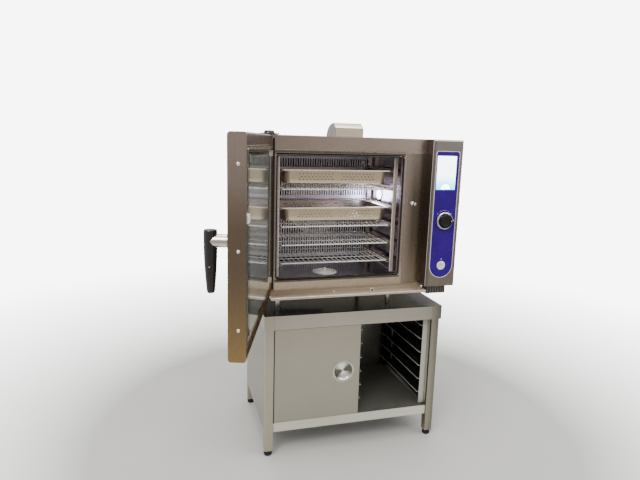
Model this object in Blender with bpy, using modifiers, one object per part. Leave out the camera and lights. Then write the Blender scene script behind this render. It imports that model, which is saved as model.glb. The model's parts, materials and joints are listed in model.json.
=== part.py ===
"""Combi steamer oven on its runner stand, modelled as separate named pieces.

Metres, +Z up, +Y from the front to the back. The origin is the middle of the underside of the
stand's front left foot. The door stands open; every door piece is drawn closed and then turned
about the hinge by its parent empty.
"""

import math

import bmesh
import bpy
from mathutils import Matrix, Vector

# ---- driving dimensions -------------------------------------------------------------------
GAP = 0.0003                    # clearance between pieces that rest on each other
SHEET = 0.0015                  # steel sheet of casings and panels
OVERCUT = 0.01                  # how far a cutter reaches past the face it opens

STAND_WIDTH = 0.866
STAND_DEPTH = 0.568
STAND_HEIGHT = 0.690
LEG = 0.040                     # square leg tube
LEG_WALL = 0.0015
LEG_EDGE = 0.003                # rounding of the tube's corners
STUD_CLEARANCE = 0.0054         # radius of a foot's threaded hole
PLUG_SPAN = (0.001, 0.007)      # end plug, above the leg's lower end
BAR = 0.004                     # flat bars that join two legs
BAR_SPANS = ((0.122, 0.150), (0.642, 0.680))
APRON_LOW = 0.622               # lower edge of the stand top's folded rim
TOP_OVERHANG = 0.006
FOOT_HEIGHT = 0.025
SHELF_LOW, SHELF_HIGH = 0.117, 0.154
PANEL_FLANGE = 0.012            # folded edges of the side panels
BACK_FOLD = 0.016               # depth of the folded back panel
BACK_SETBACK = 0.006
RUNNER_HEIGHTS = [0.220 + 0.071 * level for level in range(6)]
SLIDING_DOOR_WIDTH = 0.4215
CUP_RADIUS = 0.055
CUP_Z = 0.389

OVEN_LEFT, OVEN_RIGHT = -0.020, 0.898
OVEN_FRONT, OVEN_BACK = 0.022, 0.740
OVEN_LOW, OVEN_HIGH = 0.787, 1.487
FACE_RIGHT = 0.745              # right end of the oven's steel face
CAVITY_LEFT, CAVITY_RIGHT = 0.030, 0.630
CAVITY_BACK = 0.536
CAVITY_LOW, CAVITY_HIGH = 0.845, 1.403
FACE_OPENING_HIGH = 1.425       # the face is cut higher than the cavity's ceiling
JACKET = 0.030                  # insulation

LEVEL_TOP = 1.3364              # rim of the highest pan
LEVEL_PITCH = 0.0862
LEVELS = 6
PAN_LEFT, PAN_RIGHT = 0.066, 0.596
PAN_FRONT, PAN_BACK = 0.080, 0.405
PAN_DEPTH = 0.065
RIM_HEIGHT = 0.006              # rim of a pan, and thickness of a shelf's frame
PAN_LEVELS = (1, 3)
SHELF_LEVELS = (2, 4, 5, 6)

HOUSING_LEFT = 0.746
HOUSING_FRONT = -0.0395
HOUSING_LOW = 0.793
FASCIA_CENTRE = 0.821
FASCIA_HALF = 0.060
FASCIA_HIGH = 1.435
BUTTON_Z = 0.897
KNOB_Z = 1.113
KNOB_RADIUS = 0.042

HINGE_X, HINGE_Y = -0.0236, -0.013
DOOR_OPEN = math.radians(106.7)
DOOR_LEFT, DOOR_RIGHT = -0.036, 0.708
DOOR_LOW, DOOR_HIGH = 0.7875, 1.4869
DOOR_OUTER_Y, DOOR_INNER_Y = -0.043, 0.014
DOOR_RECESS_Y = 0.004           # bottom of the recess that holds the inner glass
HANDLE_X, HANDLE_Z = 0.662, 1.160
KEEPER_X, KEEPER_Z = 0.682, 1.188
GRIP_RADIUS = 0.0207
GRIP_Y = -0.1025

STEEL = (0.55, 0.51, 0.47)
POLISHED = (0.70, 0.69, 0.68)
BLACK = (0.02, 0.02, 0.022)


# ---- shape helpers ------------------------------------------------------------------------
def clear_scene():
    for item in list(bpy.data.objects):
        bpy.data.objects.remove(item, do_unlink=True)


def new_collection(name):
    group = bpy.data.collections.new(name)
    bpy.context.scene.collection.children.link(group)
    return group


def as_tool(mesh, location=(0.0, 0.0, 0.0)):
    """A loose solid in the cutters' collection, until part() adopts it or a Boolean uses it."""
    tool = bpy.data.objects.new("tool", mesh)
    tool.location = location
    tool.hide_render = True
    tool.display_type = "WIRE"
    CUTTERS.objects.link(tool)
    return tool


def evaluated_mesh(item):
    bpy.context.view_layer.update()
    graph = bpy.context.evaluated_depsgraph_get()
    return bpy.data.meshes.new_from_object(item.evaluated_get(graph))


def part(name, solid, colour, roughness=0.35, metallic=1.0, smooth_angle=40.0):
    """Gives a solid its name, its own material and its place among the parts."""
    solid.name = name
    CUTTERS.objects.unlink(solid)
    PARTS.objects.link(solid)
    solid.hide_render = False
    solid.display_type = "TEXTURED"
    look = bpy.data.materials.new(name + "_finish")
    look.use_nodes = True
    shader = look.node_tree.nodes["Principled BSDF"]
    shader.inputs["Base Color"].default_value = (*colour, 1.0)
    shader.inputs["Roughness"].default_value = roughness
    shader.inputs["Metallic"].default_value = metallic
    solid.data.materials.clear()
    solid.data.materials.append(look)
    solid.data.shade_smooth()
    solid.data.set_sharp_from_angle(angle=math.radians(smooth_angle))
    return solid


def block(low, high):
    """A box from its lowest to its highest corner."""
    low, high = Vector(low), Vector(high)
    work = bmesh.new()
    bmesh.ops.create_cube(work, size=1.0)
    bmesh.ops.scale(work, vec=high - low, verts=work.verts)
    mesh = bpy.data.meshes.new("block")
    work.to_mesh(mesh)
    work.free()
    return as_tool(mesh, (low + high) / 2)


def blocks(corners):
    """Several separate boxes in one solid, from their lowest and highest corners."""
    work = bmesh.new()
    for low, high in corners:
        low, high = Vector(low), Vector(high)
        made = bmesh.ops.create_cube(work, size=1.0)["verts"]
        bmesh.ops.scale(work, vec=high - low, verts=made)
        bmesh.ops.translate(work, vec=(low + high) / 2, verts=made)
    mesh = bpy.data.meshes.new("blocks")
    work.to_mesh(mesh)
    work.free()
    return as_tool(mesh)


def shell(low, high, open_side, wall=SHEET, edge_radius=0.0, segments=1):
    """A folded sheet box whose face towards open_side is left out."""
    low, high = Vector(low), Vector(high)
    work = bmesh.new()
    bmesh.ops.create_cube(work, size=1.0)
    bmesh.ops.scale(work, vec=high - low, verts=work.verts)
    work.normal_update()
    missing = max(work.faces, key=lambda face: face.normal.dot(Vector(open_side)))
    bmesh.ops.delete(work, geom=[missing], context="FACES")
    if edge_radius:
        folds = [edge for edge in work.edges if not edge.is_boundary]
        bmesh.ops.bevel(
            work, geom=folds, offset=edge_radius, segments=segments, profile=0.5, affect="EDGES"
        )
    mesh = bpy.data.meshes.new("shell")
    work.to_mesh(mesh)
    work.free()
    body = as_tool(mesh, (low + high) / 2)
    thickness = body.modifiers.new("sheet", "SOLIDIFY")
    thickness.thickness = wall
    thickness.offset = -1.0
    thickness.use_even_offset = True
    body.data = evaluated_mesh(body)
    body.modifiers.clear()
    return body


AXIS_TURNS = {
    "X": Matrix(((0, 0, 1), (1, 0, 0), (0, 1, 0))),
    "Y": Matrix(((1, 0, 0), (0, 0, -1), (0, 1, 0))),
    "Z": Matrix.Identity(3),
}
AXIS_VECTORS = {"X": Vector((1, 0, 0)), "Y": Vector((0, 1, 0)), "Z": Vector((0, 0, 1))}


def prism(axis, low, high, *loops):
    """A flat outline, with any holes, run from low to high along an axis.

    A loop's points are (y, z) for X, (x, z) for Y and (x, y) for Z.
    """
    outline = bpy.data.curves.new("outline", "CURVE")
    outline.dimensions = "2D"
    outline.fill_mode = "BOTH"
    outline.extrude = (high - low) / 2
    for loop in loops:
        line = outline.splines.new("POLY")
        line.points.add(len(loop) - 1)
        for point, (across, up) in zip(line.points, loop):
            point.co = (across, up, 0.0, 1.0)
        line.use_cyclic_u = True
    drawn = bpy.data.objects.new("outline", outline)
    CUTTERS.objects.link(drawn)
    mesh = evaluated_mesh(drawn)
    bpy.data.objects.remove(drawn, do_unlink=True)
    weld(mesh)
    body = as_tool(mesh, AXIS_VECTORS[axis] * ((low + high) / 2))
    body.rotation_euler = AXIS_TURNS[axis].to_euler()
    return body


def weld(mesh):
    work = bmesh.new()
    work.from_mesh(mesh)
    bmesh.ops.remove_doubles(work, verts=work.verts, dist=1e-6)
    bmesh.ops.recalc_face_normals(work, faces=work.faces)
    work.to_mesh(mesh)
    work.free()


def rod(axis, centre, radius, low, high, sides=20, end_radius=None):
    """A round bar or cone along an axis; centre holds its other two coordinates."""
    work = bmesh.new()
    bmesh.ops.create_cone(
        work,
        cap_ends=True,
        segments=sides,
        radius1=radius,
        radius2=radius if end_radius is None else end_radius,
        depth=high - low,
    )
    mesh = bpy.data.meshes.new("rod")
    work.to_mesh(mesh)
    work.free()
    middle = (low + high) / 2
    places = {
        "X": (middle, centre[0], centre[1]),
        "Y": (centre[0], middle, centre[1]),
        "Z": (centre[0], centre[1], middle),
    }
    body = as_tool(mesh, places[axis])
    body.rotation_euler = {
        "X": (0.0, math.pi / 2, 0.0),
        "Y": (-math.pi / 2, 0.0, 0.0),
        "Z": (0.0, 0.0, 0.0),
    }[axis]
    return body


def spun(profile, base, towards="Z", steps=24):
    """A turned piece: (radius, height) points from the top, down the outside, to the bottom."""
    work = bmesh.new()
    points = [work.verts.new((radius, 0.0, height)) for radius, height in profile]
    for upper, lower in zip(points, points[1:]):
        work.edges.new((upper, lower))
    mesh = bpy.data.meshes.new("profile")
    work.to_mesh(mesh)
    work.free()
    body = as_tool(mesh, base)
    body.rotation_euler = {
        "Z": (0.0, 0.0, 0.0),
        "-Z": (math.pi, 0.0, 0.0),
        "-Y": (math.pi / 2, 0.0, 0.0),
        "Y": (-math.pi / 2, 0.0, 0.0),
        "X": (0.0, math.pi / 2, 0.0),
        "-X": (0.0, -math.pi / 2, 0.0),
    }[towards]
    screw = body.modifiers.new("turn", "SCREW")
    screw.steps = steps
    screw.render_steps = steps
    screw.use_merge_vertices = True
    screw.merge_threshold = 1e-5
    screw.use_smooth_shade = True
    body.data = evaluated_mesh(body)
    body.modifiers.clear()
    return body


def tube(points, radius, closed=False, roundness=1):
    """A bent round bar along straight runs."""
    path = bpy.data.curves.new("path", "CURVE")
    path.dimensions = "3D"
    path.bevel_depth = radius
    path.bevel_resolution = roundness
    path.use_fill_caps = True
    line = path.splines.new("POLY")
    line.points.add(len(points) - 1)
    for point, place in zip(line.points, points):
        point.co = (*place, 1.0)
    line.use_cyclic_u = closed
    drawn = bpy.data.objects.new("path", path)
    CUTTERS.objects.link(drawn)
    mesh = evaluated_mesh(drawn)
    bpy.data.objects.remove(drawn, do_unlink=True)
    weld(mesh)
    return as_tool(mesh)


def combine(body, tools, operation):
    """Applies Booleans one after another and removes the tools."""
    for tool in tools:
        step = body.modifiers.new("combine", "BOOLEAN")
        step.operation = operation
        step.solver = "EXACT"
        step.object = tool
        mesh = evaluated_mesh(body)
        body.modifiers.clear()
        body.data = mesh
        bpy.data.objects.remove(tool, do_unlink=True)
    return body


def cut(body, *tools):
    return combine(body, tools, "DIFFERENCE")


def fuse(body, *tools):
    return combine(body, tools, "UNION")


def arc(centre, radius, start, end, steps):
    """Points of an arc, angles in degrees, both ends included."""
    points = []
    for step in range(steps + 1):
        angle = math.radians(start + (end - start) * step / steps)
        points.append((centre[0] + radius * math.cos(angle), centre[1] + radius * math.sin(angle)))
    return points


def rectangle(left, right, low, high, radius=0.0, steps=3):
    """A rectangle's corners, or its rounded outline."""
    if not radius:
        return [(left, low), (right, low), (right, high), (left, high)]
    corners = (
        (right - radius, low + radius, -90),
        (right - radius, high - radius, 0),
        (left + radius, high - radius, 90),
        (left + radius, low + radius, 180),
    )
    outline = []
    for across, up, start in corners:
        outline += arc((across, up), radius, start, start + 90, steps)
    return outline


def empty(name, location):
    marker = bpy.data.objects.new(name, None)
    marker.location = location
    marker.empty_display_size = 0.05
    PARTS.objects.link(marker)
    return marker


def hang(parent, *pieces):
    """Parents pieces to an empty without moving them."""
    bpy.context.view_layer.update()
    for piece in pieces:
        piece.parent = parent
        piece.matrix_parent_inverse = parent.matrix_world.inverted()


# ---- the stand ----------------------------------------------------------------------------
STAND_LEFT = -LEG / 2
STAND_RIGHT = STAND_LEFT + STAND_WIDTH
STAND_FRONT = -LEG / 2
STAND_BACK = STAND_FRONT + STAND_DEPTH
INSIDE_LEFT = STAND_LEFT + LEG
INSIDE_RIGHT = STAND_RIGHT - LEG
LEG_CENTRES_X = (0.0, STAND_WIDTH - LEG)
LEG_CENTRES_Y = (0.0, STAND_DEPTH - LEG)
DOOR_GUIDE = 0.0012             # thickness of the ribs between the sliding doors
GUIDE_FACES = (-0.0130, 0.0020, 0.0172)
GUIDE_INSET = 0.001
GUIDE_LOW = 0.628
GUIDE_RISE = 0.008              # height of the lower ribs over the shelf
FOLD = 0.002                    # outer radius of folded edges
FRONT_DOOR_Y = -0.0110
REAR_DOOR_Y = 0.0042
SLIDING_DOOR_THICKNESS = 0.012
SLIDING_DOOR_LOW, SLIDING_DOOR_HIGH = 0.1575, 0.638
SIDE_PLAY = 0.0005              # between a closed sliding door and the leg
CUP_INSET = 0.0825              # cup's centre from the door's end
CUP_LAP = 0.004                 # width of the cup's ring that lies on the door


def guide_ribs(low, high):
    """Three thin ribs that keep the sliding doors apart."""
    left, right = INSIDE_LEFT + GUIDE_INSET, INSIDE_RIGHT - GUIDE_INSET
    return [
        block((left, face, low), (right, face + DOOR_GUIDE, high))
        for face in GUIDE_FACES
    ]


def stand_top():
    top = shell(
        (STAND_LEFT - TOP_OVERHANG, STAND_FRONT - TOP_OVERHANG, APRON_LOW),
        (STAND_RIGHT + TOP_OVERHANG, STAND_BACK + TOP_OVERHANG, STAND_HEIGHT),
        (0, 0, -1),
        edge_radius=FOLD,
    )
    fuse(top, *guide_ribs(GUIDE_LOW, STAND_HEIGHT - SHEET / 2))
    part("stand_top", top, STEEL, 0.3)


def leg_frame(name, centre_x):
    """Two square legs with end plugs, joined by two flat bars."""
    half = LEG / 2
    top = STAND_HEIGHT - SHEET - GAP
    frame = None
    for centre_y in LEG_CENTRES_Y:
        outer = rectangle(
            centre_x - half, centre_x + half, centre_y - half, centre_y + half, LEG_EDGE, 2
        )
        hollow = half - LEG_WALL
        inner = rectangle(
            centre_x - hollow, centre_x + hollow, centre_y - hollow, centre_y + hollow
        )
        leg = prism("Z", FOOT_HEIGHT, top, outer, inner)
        reach = hollow + LEG_WALL / 3
        plug = block(
            (centre_x - reach, centre_y - reach, FOOT_HEIGHT + PLUG_SPAN[0]),
            (centre_x + reach, centre_y + reach, FOOT_HEIGHT + PLUG_SPAN[1]),
        )
        fuse(leg, plug)
        bore = (FOOT_HEIGHT - OVERCUT, FOOT_HEIGHT + 2 * OVERCUT)
        cut(leg, rod("Z", (centre_x, centre_y), STUD_CLEARANCE, *bore, 12))
        frame = fuse(frame, leg) if frame else leg
    ends = (LEG_CENTRES_Y[0] + half - LEG_WALL / 2, LEG_CENTRES_Y[1] - half + LEG_WALL / 2)
    for low, high in BAR_SPANS:
        bar = block((centre_x - BAR / 2, ends[0], low), (centre_x + BAR / 2, ends[1], high))
        fuse(frame, bar)
    part(name, frame, STEEL, 0.35)


def side_panel(name, outer_x, inwards):
    """A side sheet with its top and bottom edges folded inwards."""
    wall, flange = SHEET * inwards, PANEL_FLANGE * inwards
    low, high = SHELF_LOW + SHEET, APRON_LOW - GAP
    section = [
        (outer_x, low),
        (outer_x + flange, low),
        (outer_x + flange, low + SHEET),
        (outer_x + wall, low + SHEET),
        (outer_x + wall, high - SHEET),
        (outer_x + flange, high - SHEET),
        (outer_x + flange, high),
        (outer_x, high),
    ]
    ends = (LEG_CENTRES_Y[0] + LEG / 2 + GAP, LEG_CENTRES_Y[1] - LEG / 2 - GAP)
    part(name, prism("Y", ends[0], ends[1], section), STEEL, 0.38)


def stand_back():
    panel = shell(
        (INSIDE_LEFT + GAP, STAND_BACK - BACK_SETBACK - BACK_FOLD, SHELF_LOW + SHEET),
        (INSIDE_RIGHT - GAP, STAND_BACK - BACK_SETBACK, APRON_LOW - GAP),
        (0, 1, 0),
    )
    part("stand_back", panel, STEEL, 0.4)


def stand_floor():
    front = GUIDE_FACES[0] - GAP
    back = STAND_BACK - BACK_SETBACK - BACK_FOLD - GAP
    floor = shell(
        (INSIDE_LEFT + GAP, front, SHELF_LOW),
        (INSIDE_RIGHT - GAP, back, SHELF_HIGH),
        (0, 0, -1),
        edge_radius=FOLD,
    )
    fuse(floor, *guide_ribs(SHELF_HIGH - SHEET / 2, SHELF_HIGH + GUIDE_RISE))
    part("stand_floor", floor, STEEL, 0.35)


TRAY_WIDTH = 0.329              # clear width between two racks of the stand
RACK_LEDGE = 0.010
RACK_CENTRE = 0.413             # the middle rack stands between the two columns of trays
POST_DEPTHS = (0.022, 0.500)
POST_LOW, POST_HIGH = 0.155, 0.612
POST = 0.002                    # thickness of a post's flat bar
LEDGE_ROOT, LEDGE_LIP = 0.012, 0.018
RACK_INSET = 0.013              # outer racks, from the stand's side faces
RIGHT_RACK_FACE = 0.783


def runner_rack(name, post_left, post_right, sides):
    """Two flat posts and six ledges on each side named in sides (-1 left, 1 right)."""
    front, rear = (
        block((post_left, depth, POST_LOW + GAP), (post_right, depth + POST, POST_HIGH))
        for depth in POST_DEPTHS
    )
    ledges = []
    for side in sides:
        face = post_right if side > 0 else post_left
        for height in RUNNER_HEIGHTS:
            section = [
                (face + side * RACK_LEDGE, height),
                (face - side * LEDGE_ROOT, height),
                (face - side * LEDGE_ROOT, height + LEDGE_LIP),
                (face - side * (LEDGE_ROOT - SHEET), height + LEDGE_LIP),
                (face - side * (LEDGE_ROOT - SHEET), height + SHEET),
                (face + side * RACK_LEDGE, height + SHEET),
            ]
            reach = (POST_DEPTHS[0] + POST / 2, POST_DEPTHS[1] + POST / 2)
            ledges.append(prism("Y", *reach, section))
    fuse(front, *ledges, rear)
    part(name, front, STEEL, 0.3)


def stand_racks():
    outer_left = STAND_LEFT + RACK_INSET
    outer_right = STAND_RIGHT - RACK_INSET
    left_face = 2 * RACK_CENTRE - RIGHT_RACK_FACE
    half_middle = RIGHT_RACK_FACE - TRAY_WIDTH - RACK_CENTRE
    runner_rack("stand_runners_left", outer_left, left_face, (1,))
    runner_rack("stand_runners_right", RIGHT_RACK_FACE, outer_right, (-1,))
    runner_rack(
        "stand_runners_middle", RACK_CENTRE - half_middle, RACK_CENTRE + half_middle, (-1, 1)
    )


def sliding_door(name, front_y, cup_x):
    low = (INSIDE_LEFT + SIDE_PLAY, front_y, SLIDING_DOOR_LOW)
    high = (low[0] + SLIDING_DOOR_WIDTH, front_y + SLIDING_DOOR_THICKNESS, SLIDING_DOOR_HIGH)
    panel = shell(low, high, (0, 1, 0), edge_radius=0.001)
    reach = (front_y - OVERCUT, front_y + SLIDING_DOOR_THICKNESS + OVERCUT)
    cut(panel, rod("Y", (cup_x, CUP_Z), CUP_RADIUS - CUP_LAP, *reach, 24))
    part(name, panel, STEEL, 0.35)


def cup_pull(name, front_y, cup_x):
    """A dished finger cup whose ring lies on the door's face."""
    rim, bowl, depth, wall = CUP_RADIUS, CUP_RADIUS - CUP_LAP - 0.0005, 0.0105, 0.001
    ring = 0.0016
    profile = [
        (0.0, -depth + wall),
        (bowl * 0.55, -depth + wall),
        (bowl * 0.88, -depth * 0.55),
        (bowl, ring),
        (rim - 0.001, ring),
        (rim, GAP),
        (bowl, GAP),
        (bowl * 0.9, -depth * 0.75),
        (bowl * 0.55, -depth),
        (0.0, -depth),
    ]
    part(name, spun(profile, (cup_x, front_y, CUP_Z), "-Y", 24), POLISHED, 0.15)


def stand_foot(name, centre_x, centre_y):
    """A round rubber foot on a threaded stud."""
    top = FOOT_HEIGHT - GAP
    profile = [
        (0.0, 0.060),
        (0.005, 0.060),
        (0.005, top),
        (0.0175, top),
        (0.0195, 0.010),
        (0.0175, 0.0),
        (0.0, 0.0),
    ]
    part(name, spun(profile, (centre_x, centre_y, 0.0), "Z", 16), BLACK, 0.7, 0.0)


def stand():
    stand_top()
    leg_frame("stand_leg_frame_left", LEG_CENTRES_X[0])
    leg_frame("stand_leg_frame_right", LEG_CENTRES_X[1])
    side_panel("stand_side_left", STAND_LEFT, 1)
    side_panel("stand_side_right", STAND_RIGHT, -1)
    stand_back()
    stand_floor()
    stand_racks()
    front_cup_x = INSIDE_LEFT + SLIDING_DOOR_WIDTH - CUP_INSET
    rear_cup_x = INSIDE_LEFT + CUP_INSET
    sliding_door("sliding_door_front", FRONT_DOOR_Y, front_cup_x)
    sliding_door("sliding_door_rear", REAR_DOOR_Y, rear_cup_x)
    cup_pull("sliding_door_front_cup", FRONT_DOOR_Y, front_cup_x)
    cup_pull("sliding_door_rear_cup", REAR_DOOR_Y, rear_cup_x)
    for depth, centre_y in zip(("front", "rear"), LEG_CENTRES_Y):
        for side, centre_x in zip(("left", "right"), LEG_CENTRES_X):
            stand_foot(f"stand_foot_{depth}_{side}", centre_x, centre_y)


# ---- the oven's body ----------------------------------------------------------------------
FAN_X = (CAVITY_LEFT + CAVITY_RIGHT) / 2
FAN_Z = (CAVITY_LOW + CAVITY_HIGH) / 2
LINER_OUT = SHEET + 0.0005      # from the cavity's face to the jacket's face
BASE_HIGH = 0.805
TRAY_RISE = 0.001               # the bottom tray lies this far over the face's lower edge
BODY_INSIDE = SHEET + GAP
DRAIN_X, DRAIN_Y = 0.295, 0.136
LAMP_Y, LAMP_Z = 0.300, 1.2035
STEAM_Y, STEAM_Z = 0.440, 1.345
FACE = 0.002                    # steel face round the cavity
MOUTH_RADIUS = 0.010
OUTLET_LOW = (0.370, 0.235)     # exhaust outlet in the top
OUTLET_HIGH = (0.475, 0.315)
FOOT_STUD = 0.005
TRAY_LOW = (0.0025, -0.038, 0.765)
TRAY_RIGHT = 0.753
LIP_FRONT, LIP_BACK = 0.006, 0.020   # rounded lip, depths behind the face
LIP_PLAY = 0.004
SEAL_FRONT, SEAL_BACK = 0.0133, 0.0300   # the seal's front meets the closed door's glass
BORE_PLAY = 0.004               # how much wider the jacket's holes are than the liner's
FAN_BORE, STEAM_BORE, LAMP_BORE, DRAIN_BORE = 0.012, 0.0105, 0.030, 0.0365
OVEN_FEET_X = (0.052, 0.596)
OVEN_FEET_Y = (0.060, 0.480)


def oven_chassis():
    """The steel face round the cavity, welded to the oven's bottom tray."""
    face = prism(
        "Y",
        OVEN_FRONT,
        OVEN_FRONT + FACE,
        rectangle(OVEN_LEFT, FACE_RIGHT, OVEN_LOW, OVEN_HIGH, FOLD, 2),
        rectangle(CAVITY_LEFT, CAVITY_RIGHT, CAVITY_LOW, FACE_OPENING_HIGH, MOUTH_RADIUS, 3),
    )
    tray = shell(
        (OVEN_LEFT + BODY_INSIDE, OVEN_FRONT + FACE * 0.75, OVEN_LOW + TRAY_RISE),
        (OVEN_RIGHT - BODY_INSIDE, OVEN_BACK - BODY_INSIDE, BASE_HIGH),
        (0, 0, 1),
    )
    for foot_x in OVEN_FEET_X:
        for foot_y in OVEN_FEET_Y:
            reach = (OVEN_LOW - OVERCUT, OVEN_LOW + OVERCUT)
            cut(tray, rod("Z", (foot_x, foot_y), FOOT_STUD + 0.0005, *reach, 12))
    fuse(face, tray)
    part("oven_chassis", face, STEEL, 0.35)


def oven_casing():
    """Left side, top and right side folded from one sheet, with the exhaust's outlet."""
    wall = SHEET
    section = [
        (OVEN_LEFT, OVEN_LOW),
        (OVEN_LEFT + wall, OVEN_LOW),
        (OVEN_LEFT + wall, OVEN_HIGH - wall),
        (OVEN_RIGHT - wall, OVEN_HIGH - wall),
        (OVEN_RIGHT - wall, OVEN_LOW),
        (OVEN_RIGHT, OVEN_LOW),
        (OVEN_RIGHT, OVEN_HIGH),
        (OVEN_LEFT, OVEN_HIGH),
    ]
    casing = prism("Y", OVEN_FRONT + FACE + GAP, OVEN_BACK, section)
    outlet = block((*OUTLET_LOW, OVEN_HIGH - OVERCUT), (*OUTLET_HIGH, OVEN_HIGH + OVERCUT))
    part("oven_casing", cut(casing, outlet), STEEL, 0.35)


def oven_back_panel():
    panel = block(
        (OVEN_LEFT + BODY_INSIDE, OVEN_BACK - SHEET - GAP, BASE_HIGH + GAP),
        (OVEN_RIGHT - BODY_INSIDE, OVEN_BACK - GAP, OVEN_HIGH - BODY_INSIDE),
    )
    part("oven_back_panel", panel, STEEL, 0.4)


def wall_bores(reach, grow):
    """Cutters for the fan's shaft, the steam pipe, the lamp and the drain."""
    back = (CAVITY_BACK - reach, CAVITY_BACK + reach)
    right = (CAVITY_RIGHT - reach, CAVITY_RIGHT + reach)
    bottom = (CAVITY_LOW - reach, CAVITY_LOW + reach)
    return (
        rod("Y", (FAN_X, FAN_Z), FAN_BORE + grow, *back, 20),
        rod("X", (STEAM_Y, STEAM_Z), STEAM_BORE + grow, *right, 16),
        rod("X", (LAMP_Y, LAMP_Z), LAMP_BORE + grow, *right, 20),
        rod("Z", (DRAIN_X, DRAIN_Y), DRAIN_BORE + grow, *bottom, 24),
    )


def cavity_liner():
    """The cooking cavity: an open-front steel box with a rounded lip over its mouth."""
    out = SHEET
    liner = shell(
        (CAVITY_LEFT - out, OVEN_FRONT + FACE + GAP, CAVITY_LOW - out),
        (CAVITY_RIGHT + out, CAVITY_BACK + out, CAVITY_HIGH + out),
        (0, -1, 0),
        edge_radius=MOUTH_RADIUS,
        segments=2,
    )
    play = 0.0004
    lip_half = (FACE_OPENING_HIGH - CAVITY_HIGH) / 2 - play
    lip_middle = CAVITY_HIGH + play + lip_half
    lip = arc((OVEN_FRONT + LIP_FRONT, lip_middle), lip_half, 270, 90, 6)
    lip += [
        (OVEN_FRONT + LIP_BACK, lip_middle + lip_half),
        (OVEN_FRONT + LIP_BACK, lip_middle - lip_half),
    ]
    inset = MOUTH_RADIUS + SHEET
    fuse(liner, prism("X", CAVITY_LEFT + inset, CAVITY_RIGHT - inset, lip))
    cut(liner, *wall_bores(OVERCUT, 0.0))
    part("cavity_liner", liner, POLISHED, 0.2)


def door_gasket():
    """The seal inside the cavity's mouth, standing out to meet the door's inner glass."""
    wide, corner = 0.006, 0.013
    left, right = CAVITY_LEFT + GAP, CAVITY_RIGHT - GAP
    low, high = CAVITY_LOW + GAP, CAVITY_HIGH - GAP
    seal = prism(
        "Y",
        SEAL_FRONT,
        SEAL_BACK,
        rectangle(left, right, low, high, corner, 3),
        rectangle(left + wide, right - wide, low + wide, high - wide, corner - wide, 3),
    )
    part("door_gasket", seal, BLACK, 0.7, 0.0)


def insulation_jacket():
    out = LINER_OUT + JACKET
    jacket = shell(
        (CAVITY_LEFT - out, OVEN_FRONT + FACE + GAP, CAVITY_LOW - out),
        (CAVITY_RIGHT + out, CAVITY_BACK + out, CAVITY_HIGH + out),
        (0, -1, 0),
        wall=JACKET,
    )
    cut(
        jacket,
        *wall_bores(JACKET + OVERCUT, BORE_PLAY),
        block(
            (CAVITY_LEFT - LIP_PLAY, OVEN_FRONT, CAVITY_HIGH - LIP_PLAY),
            (CAVITY_RIGHT + LIP_PLAY, OVEN_FRONT + LIP_BACK + LIP_PLAY, FACE_OPENING_HIGH + LIP_PLAY),
        ),
    )
    part("insulation_jacket", jacket, (0.75, 0.72, 0.62), 0.9, 0.0)


def drip_tray():
    """The gutter under the door."""
    tray = shell(TRAY_LOW, (TRAY_RIGHT, OVEN_FRONT - GAP, OVEN_LOW - SHEET + GAP), (0, 0, 1))
    part("drip_tray", tray, STEEL, 0.3)


HOOD_LEFT, HOOD_RIGHT = 0.350, 0.491
HOOD_FRONT, HOOD_BACK = 0.205, 0.355
HOOD_FOLD, HOOD_RIDGE = 0.0427, 0.0657      # heights over the oven's top
RIDGE_SETBACK = 0.035


def hood_profile(inset):
    """The hood's side view: upright front, slope, and a curve falling to the back."""
    base = OVEN_HIGH + GAP
    points = [
        (HOOD_BACK - inset, base),
        (HOOD_FRONT + inset, base),
        (HOOD_FRONT + inset, base + HOOD_FOLD),
        (HOOD_FRONT + RIDGE_SETBACK, base + HOOD_RIDGE - inset),
    ]
    steps = 6
    run = HOOD_BACK - inset - HOOD_FRONT - RIDGE_SETBACK
    for step in range(1, steps):
        turn = step / steps * math.pi / 2
        depth = HOOD_FRONT + RIDGE_SETBACK + run * math.sin(turn)
        points.append((depth, base + (HOOD_RIDGE - inset) * math.cos(turn)))
    return points


def exhaust_hood():
    hood = prism("X", HOOD_LEFT, HOOD_RIGHT, hood_profile(0.0))
    wall = 0.002
    inner = prism("X", HOOD_LEFT + wall, HOOD_RIGHT - wall, hood_profile(wall))
    inner.location.z -= wall / 2
    part("exhaust_hood", cut(hood, inner), STEEL, 0.3)


def oven_foot(name, centre_x, centre_y):
    """A tapered steel foot screwed up into the oven's bottom."""
    low = STAND_HEIGHT + GAP
    high = OVEN_LOW + TRAY_RISE - GAP
    stud_end = OVEN_LOW + 0.015
    widest, waist, toe = 0.0135, 0.0085, 0.0075
    profile = [
        (0.0, stud_end),
        (FOOT_STUD, stud_end),
        (FOOT_STUD, high),
        (widest, high),
        (widest, high - 0.030),
        (waist, low + 0.004),
        (toe, low),
        (0.0, low),
    ]
    part(name, spun(profile, (centre_x, centre_y, 0.0), "Z", 16), POLISHED, 0.25)


def oven_body():
    oven_chassis()
    oven_casing()
    oven_back_panel()
    cavity_liner()
    door_gasket()
    insulation_jacket()
    drip_tray()
    exhaust_hood()
    for depth, centre_y in zip(("front", "rear"), OVEN_FEET_Y):
        for side, centre_x in zip(("left", "right"), OVEN_FEET_X):
            oven_foot(f"oven_foot_{depth}_{side}", centre_x, centre_y)


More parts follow.
